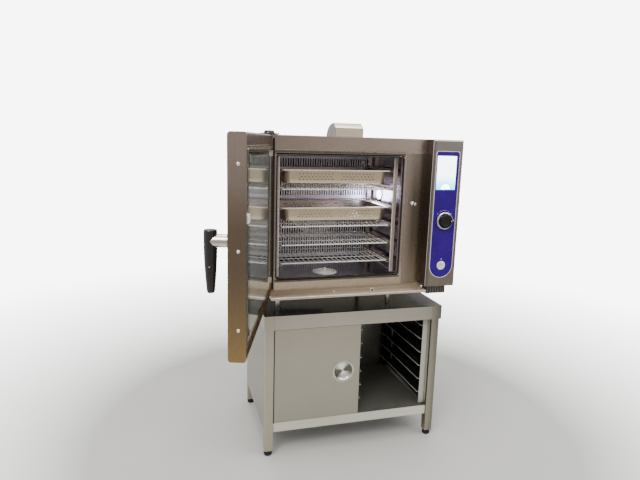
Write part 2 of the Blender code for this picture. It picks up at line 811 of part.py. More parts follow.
# ---- inside the oven ----------------------------------------------------------------------
GUARD_Y = 0.425
GUARD_FOLD = 0.025
GUARD_LEFT, GUARD_RIGHT = CAVITY_LEFT + 0.005, CAVITY_RIGHT - 0.005
GUARD_LOW, GUARD_HIGH = CAVITY_LOW + 0.012, CAVITY_HIGH - 0.010
GUARD_ROWS = ((0.880, 1.000), (1.064, 1.184), (1.248, 1.368))
OVEN_POST_DEPTHS = (0.070, 0.400)
LEFT_RACK_X, RIGHT_RACK_X = 0.034, 0.6215
WHEEL_RADIUS = 0.150
WHEEL_FRONT, WHEEL_BACK = 0.457, 0.515


def fan_motor():
    profile = [
        (0.0, 0.125),
        (0.030, 0.125),
        (0.062, 0.118),
        (0.062, 0.006),
        (0.075, 0.006),
        (0.075, 0.0),
        (0.0085, 0.0),
        (0.0085, 0.030),
        (0.0, 0.030),
    ]
    part("fan_motor", spun(profile, (FAN_X, 0.585, FAN_Z), "Y", 16), (0.25, 0.26, 0.28), 0.5, 0.6)


def fan_wheel():
    """A back plate on its shaft, twelve angled blades and a front ring."""
    shaft_end = 0.610
    profile = [
        (0.0, shaft_end),
        (0.008, shaft_end),
        (0.008, WHEEL_BACK),
        (WHEEL_RADIUS, WHEEL_BACK),
        (WHEEL_RADIUS, WHEEL_BACK - 0.002),
        (0.025, WHEEL_BACK - 0.002),
        (0.025, WHEEL_FRONT + 0.010),
        (0.0, WHEEL_FRONT + 0.010),
    ]
    wheel = spun(profile, (FAN_X, 0.0, FAN_Z), "Y", 20)
    ring = prism(
        "Y",
        WHEEL_FRONT,
        WHEEL_FRONT + 0.002,
        arc((FAN_X, FAN_Z), WHEEL_RADIUS, 7.5, 352.5, 23),
        arc((FAN_X, FAN_Z), WHEEL_RADIUS - 0.022, 7.5, 352.5, 23),
    )
    blades = []
    for number in range(12):
        turn = math.radians(30.0 * number + 4.0)
        blade = block((-0.001, WHEEL_FRONT + 0.001, -0.022), (0.001, WHEEL_BACK - 0.001, 0.022))
        reach = WHEEL_RADIUS - 0.025
        blade.location = (
            FAN_X + reach * math.cos(turn), blade.location.y, FAN_Z + reach * math.sin(turn)
        )
        blade.rotation_euler = (0.0, math.radians(60.0) - turn, 0.0)
        blades.append(blade)
    part("fan_wheel", fuse(wheel, *blades, ring), POLISHED, 0.3)


def fan_guard():
    """The slotted plate in front of the fan, its sides folded back."""
    left, right = GUARD_LEFT, GUARD_RIGHT
    low, high = GUARD_LOW, GUARD_HIGH
    guard = block((left, GUARD_Y, low), (right, GUARD_Y + SHEET, high))
    for near, far in ((left, left + SHEET), (right - SHEET, right)):
        fuse(guard, block((near, GUARD_Y + SHEET / 2, low), (far, GUARD_Y + GUARD_FOLD, high)))
    columns, margin, half_slot = 14, 0.015, 0.005
    pitch = (right - left - 2 * margin) / columns
    slots = []
    for slot_low, slot_high in GUARD_ROWS:
        for column in range(columns):
            centre = left + margin + pitch * (column + 0.5)
            slots.append(
                (
                    (centre - half_slot, GUARD_Y - OVERCUT, slot_low),
                    (centre + half_slot, GUARD_Y + OVERCUT, slot_high),
                )
            )
    cut(guard, blocks(slots))
    part("fan_guard", guard, POLISHED, 0.3)


def heating_coil():
    """Two turns of tube round the fan."""
    turns, steps = 2, 16
    radius, front, run = 0.182, 0.466, 0.040
    points = []
    for step in range(turns * steps + 1):
        angle = 2 * math.pi * step / steps
        depth = front + run * step / (turns * steps)
        points.append((FAN_X + radius * math.cos(angle), depth, FAN_Z + radius * math.sin(angle)))
    part("heating_coil", tube(points, 0.005), (0.30, 0.27, 0.25), 0.5)


def steam_generator():
    """A small upright boiler beside the cavity, with its steam pipe."""
    centre = (0.790, STEAM_Y)
    profile = [
        (0.0, 1.290),
        (0.030, 1.288),
        (0.062, 1.272),
        (0.075, 1.245),
        (0.075, 1.000),
        (0.062, 0.975),
        (0.0, 0.970),
    ]
    boiler = spun(profile, (*centre, 0.0), "Z", 16)
    pipe = tube(
        [
            (*centre, 1.270),
            (*centre, STEAM_Z - 0.020),
            (centre[0] - 0.006, STEAM_Y, STEAM_Z - 0.006),
            (centre[0] - 0.020, STEAM_Y, STEAM_Z),
            (CAVITY_RIGHT + 0.0005, STEAM_Y, STEAM_Z),
        ],
        0.009,
    )
    part("steam_generator", fuse(boiler, pipe), POLISHED, 0.35)


def level_height(level):
    """Underside of a pan's or a shelf's rim on a level, counted from the top."""
    return LEVEL_TOP - LEVEL_PITCH * (level - 1) - RIM_HEIGHT


def side_rack(name, wall_x, side):
    """Flat posts with a ledge for each level; side points from the wall to the pans."""
    width, ledge, upstand = 0.019, 0.018, 0.014
    near = wall_x + side * width
    low, high = CAVITY_LOW + 0.007, CAVITY_HIGH - 0.006
    left, right = sorted((wall_x, near))
    front, rear = (
        block((left, depth, low), (right, depth + POST, high)) for depth in OVEN_POST_DEPTHS
    )
    reach = (OVEN_POST_DEPTHS[0] + POST / 2, OVEN_POST_DEPTHS[1] + POST / 2)
    ledges = []
    for level in range(1, LEVELS + 1):
        top = level_height(level) - GAP
        section = [
            (near + side * ledge, top),
            (near, top),
            (near, top + upstand),
            (near - side * SHEET, top + upstand),
            (near - side * SHEET, top - SHEET),
            (near + side * ledge, top - SHEET),
        ]
        ledges.append(prism("Y", *reach, section))
    part(name, fuse(front, *ledges, rear), POLISHED, 0.25)


def drain_strainer():
    """A round slotted strainer with a skirt in the drain and a lifting knob."""
    base = CAVITY_LOW + GAP
    centre = (DRAIN_X, DRAIN_Y)
    slots = []
    for number in range(6):
        angle = 60.0 * number
        slot = arc(centre, 0.030, angle - 16, angle + 16, 1)
        slot += arc(centre, 0.014, angle + 18, angle - 18, 1)
        slots.append(slot)
    disc = prism("Z", base, base + 0.0025, arc(centre, 0.045, 0, 340, 17), *slots)
    skirt = prism(
        "Z",
        base - 0.012,
        base + 0.001,
        arc(centre, 0.0355, 0, 340, 17),
        arc(centre, 0.0335, 0, 340, 17),
    )
    knob = rod("Z", centre, 0.006, base + 0.001, base + 0.012, 8)
    part("drain_strainer", fuse(disc, skirt, knob), POLISHED, 0.15)


def cavity_lamp():
    """A round lamp set into the cavity's right wall."""
    profile = [
        (0.0, 0.048),
        (0.024, 0.048),
        (0.0285, 0.040),
        (0.0285, 0.0),
        (0.036, 0.0),
        (0.036, -0.0020),
        (0.026, -0.0045),
        (0.0, -0.0045),
    ]
    lamp = spun(profile, (CAVITY_RIGHT - GAP, LAMP_Y, LAMP_Z), "X", 16)
    part("cavity_lamp", lamp, (0.85, 0.88, 0.95), 0.1, 0.0)


def wire_shelf(name, level):
    """A round-cornered frame wire with cross wires let into it."""
    radius, thin = RIM_HEIGHT / 2, 0.0016
    low = level_height(level)
    middle = low + radius
    left, right = PAN_LEFT + radius, PAN_RIGHT - radius
    front, back = PAN_FRONT + radius, PAN_BACK - radius
    outline = rectangle(left, right, front, back, 0.012, 2)
    frame = tube([(x, y, middle) for x, y in outline], radius, closed=True)
    spaces = 18
    wires = []
    for number in range(1, spaces):
        x = left + (right - left) * number / spaces
        wires.append(rod("Y", (x, middle + radius - thin), thin, front, back, 4))
    part(name, fuse(frame, *wires), POLISHED, 0.15)


def gastronorm_pan(name, level):
    """A deep-drawn pan hung by its rim."""
    low = level_height(level)
    top = low + RIM_HEIGHT
    base = top - PAN_DEPTH
    wall, rim, corner, rim_corner = 0.0010, 0.0125, 0.035, 0.020

    def ring(inset, radius):
        return rectangle(
            PAN_LEFT + inset, PAN_RIGHT - inset, PAN_FRONT + inset, PAN_BACK - inset, radius, 3
        )

    work = bmesh.new()
    levels = [
        (ring(0.0, rim_corner), low),
        (ring(0.0, rim_corner), top),
        (ring(rim, corner), top),
        (ring(rim + 0.004, corner), base + 0.012),
        (ring(rim + 0.008, corner), base + 0.003),
        (ring(rim + 0.018, corner), base),
    ]
    loops = []
    for loop, height in levels:
        loops.append([work.verts.new((x, y, height)) for x, y in loop])
    for upper, lower in zip(loops, loops[1:]):
        count = len(upper)
        for index in range(count):
            after = (index + 1) % count
            work.faces.new((upper[index], upper[after], lower[after], lower[index]))
    work.faces.new(loops[-1])
    bmesh.ops.recalc_face_normals(work, faces=work.faces)
    mesh = bpy.data.meshes.new("pan")
    work.to_mesh(mesh)
    work.free()
    pan = as_tool(mesh)
    thickness = pan.modifiers.new("sheet", "SOLIDIFY")
    thickness.thickness = wall
    thickness.offset = 0.0
    thickness.use_even_offset = True
    part(name, pan, (0.72, 0.68, 0.55), 0.3)


def oven_inside():
    fan_motor()
    fan_wheel()
    fan_guard()
    heating_coil()
    steam_generator()
    side_rack("rack_left", LEFT_RACK_X, 1)
    side_rack("rack_right", RIGHT_RACK_X, -1)
    drain_strainer()
    cavity_lamp()
    for level in SHELF_LEVELS:
        wire_shelf(f"wire_shelf_{level}", level)
    for level in PAN_LEVELS:
        gastronorm_pan(f"gastronorm_pan_{level}", level)


# ---- controls -----------------------------------------------------------------------------
FASCIA_BACK = HOUSING_FRONT - GAP
FASCIA_FRONT = FASCIA_BACK - 0.0027
DISPLAY_LEFT, DISPLAY_RIGHT = 0.768, 0.866
DISPLAY_LOW, DISPLAY_HIGH = 1.258, 1.413
BUTTON_RADIUS = 0.0210
SHAFT_BORE = 0.006


def control_housing():
    """The box that carries the controls, open towards the oven."""
    housing = shell(
        (HOUSING_LEFT, HOUSING_FRONT, HOUSING_LOW),
        (OVEN_RIGHT, OVEN_FRONT - 0.0005, OVEN_HIGH),
        (0, 1, 0),
        edge_radius=FOLD,
    )
    front, back = HOUSING_FRONT - OVERCUT, HOUSING_FRONT + OVERCUT
    play = 0.001
    cut(
        housing,
        block(
            (DISPLAY_LEFT - play, front, DISPLAY_LOW - play),
            (DISPLAY_RIGHT + play, back, DISPLAY_HIGH + play),
        ),
        rod("Y", (FASCIA_CENTRE, KNOB_Z), SHAFT_BORE, front, back, 16),
        rod("Y", (FASCIA_CENTRE, BUTTON_Z), BUTTON_RADIUS + play, front, back, 24),
    )
    part("control_housing", housing, STEEL, 0.35)


def control_fascia():
    left, right = FASCIA_CENTRE - FASCIA_HALF, FASCIA_CENTRE + FASCIA_HALF
    corner = 0.012
    outline = arc((FASCIA_CENTRE, BUTTON_Z), FASCIA_HALF, 180, 360, 20)
    outline += arc((right - corner, FASCIA_HIGH - corner), corner, 0, 90, 4)
    outline += arc((left + corner, FASCIA_HIGH - corner), corner, 90, 180, 4)
    fascia = prism(
        "Y",
        FASCIA_FRONT,
        FASCIA_BACK,
        outline,
        rectangle(DISPLAY_LEFT, DISPLAY_RIGHT, DISPLAY_LOW, DISPLAY_HIGH),
        arc((FASCIA_CENTRE, KNOB_Z), SHAFT_BORE, 0, 337.5, 15),
        arc((FASCIA_CENTRE, BUTTON_Z), BUTTON_RADIUS + 0.0004, 0, 345, 23),
    )
    part("control_fascia", fascia, (0.05, 0.04, 0.30), 0.25, 0.0)


def display():
    glass = block(
        (DISPLAY_LEFT + GAP, FASCIA_FRONT + 0.0004, DISPLAY_LOW + GAP),
        (DISPLAY_RIGHT - GAP, HOUSING_FRONT + 0.009, DISPLAY_HIGH - GAP),
    )
    part("display", glass, (0.75, 0.90, 0.95), 0.1, 0.0)


def encoder_shaft():
    """The shaft that carries the knob and can be pushed in."""
    front = FASCIA_FRONT - 0.018
    profile = [
        (0.0, 0.055),
        (0.0075, 0.055),
        (0.0075, 0.027),
        (0.004, 0.027),
        (0.004, 0.0),
        (0.0, 0.0),
    ]
    part("encoder_shaft", spun(profile, (FASCIA_CENTRE, front, KNOB_Z), "Y", 16), POLISHED, 0.3)


def selector_knob():
    """A round knob with a stepped ring and a blind bore for its shaft."""
    back = FASCIA_FRONT - 0.0020
    depth = 0.026
    profile = [
        (0.0, depth - 0.001),
        (KNOB_RADIUS * 0.55, depth),
        (KNOB_RADIUS * 0.74, depth - 0.001),
        (KNOB_RADIUS * 0.80, depth - 0.004),
        (KNOB_RADIUS * 0.84, 0.009),
        (KNOB_RADIUS * 0.95, 0.008),
        (KNOB_RADIUS, 0.005),
        (KNOB_RADIUS, 0.0),
        (0.0043, 0.0),
        (0.0043, 0.0175),
        (0.0, 0.0175),
    ]
    part("selector_knob", spun(profile, (FASCIA_CENTRE, back, KNOB_Z), "-Y", 24), BLACK, 0.3, 0.0)


def power_button():
    profile = [
        (0.0, 0.0035),
        (0.014, 0.0032),
        (BUTTON_RADIUS - 0.0015, 0.0022),
        (BUTTON_RADIUS, 0.0010),
        (BUTTON_RADIUS, -0.0090),
        (0.0, -0.0090),
    ]
    button = spun(profile, (FASCIA_CENTRE, FASCIA_FRONT, BUTTON_Z), "-Y", 24)
    part("power_button", button, (0.75, 0.75, 0.78), 0.25, 0.8)


def latch_keeper():
    """The headed pin on the oven's face that the door's latch hooks."""
    seat = OVEN_FRONT - GAP
    profile = [
        (0.0, 0.0337),
        (0.005, 0.0337),
        (0.0065, 0.0320),
        (0.0065, 0.0277),
        (0.0035, 0.0277),
        (0.0035, 0.0030),
        (0.0085, 0.0030),
        (0.0092, 0.0),
        (0.0, 0.0),
    ]
    part("latch_keeper", spun(profile, (KEEPER_X, seat, KEEPER_Z), "-Y", 16), POLISHED, 0.15)


def controls():
    control_housing()
    control_fascia()
    display()
    encoder_shaft()
    selector_knob()
    power_button()
    latch_keeper()


# ---- the door, drawn closed ---------------------------------------------------------------
WINDOW_LEFT, WINDOW_RIGHT = 0.060, 0.612
WINDOW_LOW, WINDOW_HIGH = 0.880, 1.395
RIM = 0.003                     # steel left round the recess for the inner glass
SKIN = 0.002
PIN_RADIUS = 0.006
PIN_PLAY = 0.0005
PIN_REACH = 0.012               # how far a hinge pin goes into the door
BRACKET = 0.006                 # thickness of the hinge plates
BRACKET_EDGE = 0.012            # hinge plate beyond the pin's centre
PANE = 0.005
GLASS_AXIS_X, GLASS_AXIS_Y = 0.011, 0.0105
GLASS_LEFT, GLASS_RIGHT = 0.007, 0.664
GLASS_LOW, GLASS_HIGH = 0.840, 1.440
SPINDLE_RADIUS = 0.006


def door_casing():
    """A hollow steel frame round the window, with a recess for the inner glass."""
    low = Vector((DOOR_LEFT, DOOR_OUTER_Y, DOOR_LOW))
    high = Vector((DOOR_RIGHT, DOOR_INNER_Y, DOOR_HIGH))
    casing = prism(
        "X", low.x, high.x, rectangle(low.y, high.y, low.z, high.z, 0.010, 3)
    )
    recess = prism(
        "Y",
        DOOR_RECESS_Y,
        high.y + OVERCUT,
        rectangle(low.x + RIM, high.x - RIM, low.z + 2 * RIM, high.z - 2 * RIM, 0.006, 2),
    )
    window = block(
        (WINDOW_LEFT, low.y - OVERCUT, WINDOW_LOW), (WINDOW_RIGHT, high.y + OVERCUT, WINDOW_HIGH)
    )
    hollow = prism(
        "Y",
        low.y + SKIN,
        DOOR_RECESS_Y - SKIN,
        rectangle(low.x + SKIN, high.x - SKIN, low.z + 0.012, high.z - 0.012),
        rectangle(
            WINDOW_LEFT - SKIN, WINDOW_RIGHT + SKIN, WINDOW_LOW - SKIN, WINDOW_HIGH + SKIN
        ),
    )
    mortise = block(
        (KEEPER_X - 0.009, DOOR_RECESS_Y - 0.006, KEEPER_Z - 0.023),
        (KEEPER_X + 0.009, DOOR_RECESS_Y + 0.006, KEEPER_Z + 0.062),
    )
    reach = (low.y - OVERCUT, low.y + OVERCUT)
    spindle = rod("Y", (HANDLE_X, HANDLE_Z), SPINDLE_RADIUS + 0.0006, *reach, 20)
    cut(casing, recess, window, hollow, mortise, spindle)
    bore_depth = 0.016
    for end in (DOOR_LOW, DOOR_HIGH):
        reach = (end - bore_depth, end + bore_depth)
        cut(casing, rod("Z", (HINGE_X, HINGE_Y), PIN_RADIUS + PIN_PLAY, *reach, 20))
    return part("door_casing", casing, STEEL, 0.35)


def door_outer_glass():
    pane = block(
        (WINDOW_LEFT + GAP, DOOR_OUTER_Y + SKIN, WINDOW_LOW + GAP),
        (WINDOW_RIGHT - GAP, DOOR_OUTER_Y + SKIN + PANE, WINDOW_HIGH - GAP),
    )
    return part("door_outer_glass", pane, (0.05, 0.06, 0.06), 0.05, 0.0)


def door_inner_glass():
    pane = prism(
        "Y",
        GLASS_AXIS_Y - PANE / 2,
        GLASS_AXIS_Y + PANE / 2,
        rectangle(GLASS_LEFT, GLASS_RIGHT, GLASS_LOW, GLASS_HIGH, 0.006, 2),
    )
    return part("door_inner_glass", pane, (0.10, 0.12, 0.11), 0.05, 0.0)


def grip_solid(grow):
    """The tapered lever, grown all round by the given clearance."""
    full, tip = GRIP_RADIUS + grow, 0.0115 + grow
    profile = [
        (0.0, 1.1940 + grow),
        (full - 0.003, 1.1940 + grow),
        (full, 1.1900),
        (full, 1.1350),
        (full * 0.93, 1.0900),
        (tip * 1.08, 1.0000),
        (tip * 0.85, 0.9960 - grow),
        (0.0, 0.9960 - grow),
    ]
    return spun(profile, (HANDLE_X, GRIP_Y, 0.0), "Z", 20)


def door_handle():
    """The black lever and the steel neck that carries it."""
    neck = rod("Y", (HANDLE_X, HANDLE_Z), GRIP_RADIUS - 0.0002, GRIP_Y, DOOR_OUTER_Y - GAP, 20)
    spindle_end = -0.0005
    spindle = rod(
        "Y", (HANDLE_X, HANDLE_Z), SPINDLE_RADIUS, DOOR_OUTER_Y - SKIN, spindle_end, 16
    )
    fuse(neck, spindle)
    cut(neck, grip_solid(GAP))
    return (
        part("door_handle_neck", neck, POLISHED, 0.2),
        part("door_handle_grip", grip_solid(0.0), BLACK, 0.15, 0.0),
    )


def door_latch():
    """A hub with a hook whose slot runs round the hub, so turning frees the keeper."""
    hub = 0.014
    reach = math.hypot(KEEPER_X - HANDLE_X, KEEPER_Z - HANDLE_Z)
    toward = math.degrees(math.atan2(KEEPER_Z - HANDLE_Z, KEEPER_X - HANDLE_X))
    slot = 0.0046
    centre = (HANDLE_X, HANDLE_Z)
    back, closed, mouth = toward - 15, toward - 8.5, toward + 22
    outline = arc(centre, reach + slot + 0.004, back, mouth, 5)
    outline += arc(centre, reach + slot, mouth, closed, 5)
    outline += arc(centre, reach - slot, closed, mouth, 4)
    outline += arc(centre, hub, mouth, back + 360, 16)
    hook = prism("Y", -0.0045, 0.0, outline)
    cut(hook, rod("Y", centre, SPINDLE_RADIUS + GAP, -OVERCUT, OVERCUT, 16))
    return part("door_latch", hook, POLISHED, 0.2)


def hinge_bracket_upper():
    """A plate on the oven's top whose pin drops into the door."""
    high = OVEN_HIGH + BRACKET
    plate = block(
        (HINGE_X - BRACKET_EDGE, HINGE_Y - BRACKET_EDGE, OVEN_HIGH + GAP), (0.030, 0.110, high)
    )
    pin = rod("Z", (HINGE_X, HINGE_Y), PIN_RADIUS, DOOR_HIGH - PIN_REACH, high - 0.002, 20)
    cap = rod("Z", (0.000, 0.045), 0.024, high - 0.001, high + 0.012, 20, 0.018)
    part("door_hinge_upper", fuse(plate, pin, cap), (0.08, 0.08, 0.08), 0.4, 0.5)


def hinge_bracket_lower():
    """A plate under the oven's bottom whose pin stands up into the door."""
    top = DOOR_LOW - 0.0010
    plate = block(
        (HINGE_X - BRACKET_EDGE, HINGE_Y - BRACKET_EDGE, top - BRACKET), (0.0015, 0.080, top)
    )
    pin = rod("Z", (HINGE_X, HINGE_Y), PIN_RADIUS, top - BRACKET / 2, DOOR_LOW + PIN_REACH, 20)
    part("door_hinge_lower", fuse(plate, pin), STEEL, 0.35)


def door():
    hinge_bracket_upper()
    hinge_bracket_lower()
    pivot = empty("door_hinge_axis", (HINGE_X, HINGE_Y, DOOR_LOW))
    glass_pivot = empty("inner_glass_axis", (GLASS_AXIS_X, GLASS_AXIS_Y, GLASS_LOW))
    handle_pivot = empty("handle_axis", (HANDLE_X, DOOR_OUTER_Y, HANDLE_Z))
    hang(glass_pivot, door_inner_glass())
    hang(handle_pivot, *door_handle(), door_latch())
    hang(pivot, door_casing(), door_outer_glass(), glass_pivot, handle_pivot)
    pivot.rotation_euler = (0.0, 0.0, -DOOR_OPEN)


clear_scene()
PARTS = new_collection("combi_steamer_oven")
CUTTERS = new_collection("cutters")
stand()
oven_body()
oven_inside()
controls()
door()
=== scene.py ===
"""Looks of a combi steamer oven on its runner stand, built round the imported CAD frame.

Metres, +Z up, +Y from the front to the back; turned profiles are in millimetres. Door pieces
are drawn with the door closed and then turned open with the CAD door.
"""

import json
import math

import bmesh
import bpy
from mathutils import Matrix, Vector

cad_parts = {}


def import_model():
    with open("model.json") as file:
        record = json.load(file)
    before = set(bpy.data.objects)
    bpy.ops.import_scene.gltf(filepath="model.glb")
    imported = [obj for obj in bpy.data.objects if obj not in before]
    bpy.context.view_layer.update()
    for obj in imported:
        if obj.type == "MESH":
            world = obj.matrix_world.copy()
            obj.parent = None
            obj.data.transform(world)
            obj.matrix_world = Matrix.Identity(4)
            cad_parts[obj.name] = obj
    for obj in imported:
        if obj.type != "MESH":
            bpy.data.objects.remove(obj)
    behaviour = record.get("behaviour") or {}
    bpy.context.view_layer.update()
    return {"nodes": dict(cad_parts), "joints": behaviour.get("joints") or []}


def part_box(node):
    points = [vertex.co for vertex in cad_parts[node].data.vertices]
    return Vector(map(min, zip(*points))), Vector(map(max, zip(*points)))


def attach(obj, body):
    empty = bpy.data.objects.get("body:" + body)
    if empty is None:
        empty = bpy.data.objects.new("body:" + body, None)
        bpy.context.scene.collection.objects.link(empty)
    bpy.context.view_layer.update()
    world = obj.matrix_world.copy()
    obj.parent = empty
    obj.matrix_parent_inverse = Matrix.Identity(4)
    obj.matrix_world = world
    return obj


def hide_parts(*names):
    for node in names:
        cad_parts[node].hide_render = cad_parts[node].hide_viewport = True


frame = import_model()

MM = 0.001
DOOR_BODIES = ("door", "door_handle", "inner_glass")
SHARP_ANGLE = math.radians(35)
WELD = 1e-6                     # points nearer than this are one point
HAIR = 0.0001                   # gap between pieces that lie on each other
SIDES = ("left", "right")
DEPTHS = ("front", "rear")
CORNERS = [f"{depth}_{side}" for depth in DEPTHS for side in SIDES]


def joint(name):
    return next(entry for entry in frame["joints"] if entry["name"] == name)


HINGE = Vector(joint("door_hinge")["pos_m"])
DOOR_OPEN = math.radians(joint("door_hinge")["range_deg"][0])
DOOR = (
    Matrix.Translation(HINGE) @ Matrix.Rotation(DOOR_OPEN, 4, "Z") @ Matrix.Translation(-HINGE)
)


def closed_box(name):
    """Lowest and highest corner of a door node, with the door closed."""
    back = DOOR.inverted()
    points = [back @ vertex.co for vertex in frame["nodes"][name].data.vertices]
    return tuple(Vector(pick(point[axis] for point in points) for axis in range(3)) for pick in (min, max))


CASE_LOW, CASE_HIGH = closed_box("door_casing")


def middle_of(name):
    low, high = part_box(name)
    return (low + high) / 2


def half_width(name):
    low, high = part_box(name)
    return (high.x - low.x) / 2


# ---- materials ----------------------------------------------------------------------------
def put(socket, value):
    """Links a socket to another one, or sets its value."""
    if isinstance(value, bpy.types.NodeSocket):
        socket.id_data.links.new(value, socket)
    elif socket.type == "RGBA":
        socket.default_value = (*value, 1.0)
    else:
        socket.default_value = value


def feed(target, **values):
    """Puts values into a node's inputs by name, with _ for a space."""
    for key, value in values.items():
        put(target.inputs[key.replace("_", " ")], value)


def node(tree, kind, **values):
    """Adds a node; small-letter values are settings, capitalised ones are inputs."""
    made = tree.nodes.new(kind)
    for key, value in values.items():
        if key.islower():
            setattr(made, key, value)
        else:
            feed(made, **{key: value})
    return made


def new_look(name):
    look = bpy.data.materials.new(name)
    look.use_nodes = True
    return look, look.node_tree, look.node_tree.nodes["Principled BSDF"]


def coordinates(tree, scale=(1.0, 1.0, 1.0)):
    place = node(tree, "ShaderNodeTexCoord")
    return node(tree, "ShaderNodeMapping", Scale=scale, Vector=place.outputs["Object"]).outputs[0]


def axes(tree):
    """The place's X, Y and Z, each as a socket."""
    return node(tree, "ShaderNodeSeparateXYZ", Vector=coordinates(tree)).outputs


def noise(tree, vector, scale, detail=3.0, roughness=0.5):
    cloud = node(tree, "ShaderNodeTexNoise", Vector=vector, Scale=scale, Detail=detail, Roughness=roughness)
    return cloud.outputs["Fac"]


def spread(tree, value, low, high, start=0.3, end=0.7):
    """Maps a value from the range start to end onto the range low to high."""
    mapped = node(
        tree, "ShaderNodeMapRange", Value=value, From_Min=start, From_Max=end, To_Min=low, To_Max=high
    )
    return mapped.outputs["Result"]


def mixed(tree, share, first, second, blend="MIX"):
    """Mixes two colours."""
    mix = node(tree, "ShaderNodeMix", data_type="RGBA", blend_type=blend)
    for number, value in ((0, share), (6, first), (7, second)):
        put(mix.inputs[number], value)
    return mix.outputs[2]


def maths(tree, operation, first, second=0.0):
    step = node(tree, "ShaderNodeMath", operation=operation)
    put(step.inputs[0], first)
    put(step.inputs[1], second)
    return step.outputs[0]


def bump(tree, shader, height, strength, distance=0.0003):
    relief = node(tree, "ShaderNodeBump", Strength=strength, Distance=distance, Height=height)
    feed(shader, Normal=relief.outputs["Normal"])


def shaded(colour, factor):
    return tuple(min(1.0, channel * factor) for channel in colour)


def grained(tree, axis, across, along, detail, roughness=0.5):
    """Noise drawn out along one axis."""
    scale = [across] * 3
    scale["XYZ".index(axis)] = along
    return noise(tree, coordinates(tree, scale), 1.0, detail, roughness)


def steel(name, colour, grain="X", roughness=0.30, fades=(), metal=1.0):
    """Brushed stainless steel: fine long grain, cloudy tone and finger smudges.

    Each fade is (axis, start, end, colour), a painted gradient of light and shade: the tone reaches that
    colour at its end.
    """
    look, tree, shader = new_look(name)
    fine = grained(tree, grain, 1400.0, 6.0, 4.0, 0.7)
    bands = grained(tree, grain, 60.0, 0.4, 2.0)
    cloud = noise(tree, coordinates(tree), 2.0, 2.0)
    smudge = noise(tree, coordinates(tree), 7.0, 6.0, 0.65)
    tone = mixed(tree, spread(tree, cloud, 0.0, 1.0), shaded(colour, 0.92), shaded(colour, 1.06))
    place = axes(tree)
    # the fades paint light, shade and reflections into the tone
    for axis, start, end, goal in fades:
        tone = mixed(tree, spread(tree, place[axis], 0.0, 1.0, start, end), tone, goal)
    tone = mixed(tree, 1.0, tone, spread(tree, fine, 0.975, 1.025), "MULTIPLY")
    tone = mixed(tree, 1.0, tone, spread(tree, bands, 0.99, 1.01), "MULTIPLY")
    brushed = spread(tree, fine, roughness - 0.025, roughness + 0.025)
    rough = maths(tree, "ADD", brushed, spread(tree, smudge, 0.0, 0.06, 0.52, 0.72))
    feed(shader, Base_Color=tone, Metallic=metal, Roughness=rough)
    bump(tree, shader, fine, 0.02)
    return look


def polished(name, colour, roughness=0.12, smears=0.08, metal=1.0):
    """Bright polished metal with water marks and fine scratches."""
    look, tree, shader = new_look(name)
    marks = noise(tree, coordinates(tree), 35.0, 5.0, 0.6)
    scratch = noise(tree, coordinates(tree, (40.0, 700.0, 700.0)), 1.0, 2.0)
    tone = mixed(tree, spread(tree, marks, 0.0, 1.0), shaded(colour, 0.86), shaded(colour, 1.06))
    marked = spread(tree, marks, roughness, roughness + smears)
    rough = maths(tree, "ADD", marked, spread(tree, scratch, 0.0, 0.05, 0.55, 0.7))
    feed(shader, Base_Color=tone, Metallic=metal, Roughness=rough)
    bump(tree, shader, scratch, 0.03)
    return look


def cavity_metal():
    """Polished cavity walls with painted shade behind the fan's guard, and faintly stained."""
    look = polished("steel_cavity", (0.40, 0.38, 0.42), 0.17, 0.05)
    tree = look.node_tree
    shader = tree.nodes["Principled BSDF"]
    clean = shader.inputs["Base Color"].links[0].from_socket
    guard_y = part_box("fan_guard")[0].y
    # painted shade: the walls turn nearly black behind the guard, so its slots read dark
    behind = spread(tree, axes(tree)["Y"], 0.0, 1.0, guard_y - 0.004, guard_y + 0.010)
    stain = noise(tree, coordinates(tree), 6.0, 5.0, 0.7)
    tone = mixed(tree, behind, clean, (0.035, 0.032, 0.035))
    tone = mixed(tree, spread(tree, stain, 0.0, 0.10, 0.5, 0.75), tone, (0.20, 0.16, 0.12))
    feed(shader, Base_Color=tone)
    return look


def plastic(name, colour, roughness=0.3, grain=0.05, coat=0.0, specular=0.5):
    """Moulded plastic or paint with a fine orange-peel grain and dusty patches."""
    look, tree, shader = new_look(name)
    peel = noise(tree, coordinates(tree), 900.0, 3.0)
    dust = noise(tree, coordinates(tree), 14.0, 5.0, 0.6)
    tone = mixed(tree, spread(tree, dust, 0.0, 1.0, 0.4, 0.8), colour, shaded(colour, 1.35))
    rough = spread(tree, dust, max(0.02, roughness - 0.06), roughness + 0.10)
    feed(shader, Base_Color=tone, Roughness=rough, Coat_Weight=coat, Specular_IOR_Level=specular)
    bump(tree, shader, peel, grain)
    return look


def rubber(name, colour, roughness=0.75):
    return plastic(name, colour, roughness, 0.25, specular=0.3)


def glass_dark(name, colour, roughness, reflect):
    """Coated door glass: a dark mirror with faint wipe marks."""
    look, tree, shader = new_look(name)
    wipe = noise(tree, coordinates(tree, (3.0, 3.0, 0.8)), 6.0, 5.0, 0.6)
    spots = noise(tree, coordinates(tree), 160.0, 2.0)
    tone = mixed(tree, spread(tree, wipe, 0.0, 1.0), colour, shaded(colour, 1.5))
    wiped = spread(tree, wipe, roughness, roughness + 0.05)
    rough = maths(tree, "ADD", wiped, spread(tree, spots, 0.0, 0.06, 0.62, 0.75))
    feed(shader, Base_Color=tone, Roughness=rough, Metallic=reflect, Coat_Weight=0.4)
    return look


def glowing(name, colour, strength):
    """A lit diffuser with a faintly uneven tone."""
    look, tree, shader = new_look(name)
    cells = noise(tree, coordinates(tree), 120.0, 2.0)
    tone = mixed(tree, spread(tree, cells, 0.0, 1.0), shaded(colour, 0.9), colour)
    feed(shader, Base_Color=tone, Emission_Color=tone, Emission_Strength=strength, Roughness=0.2)
    return look


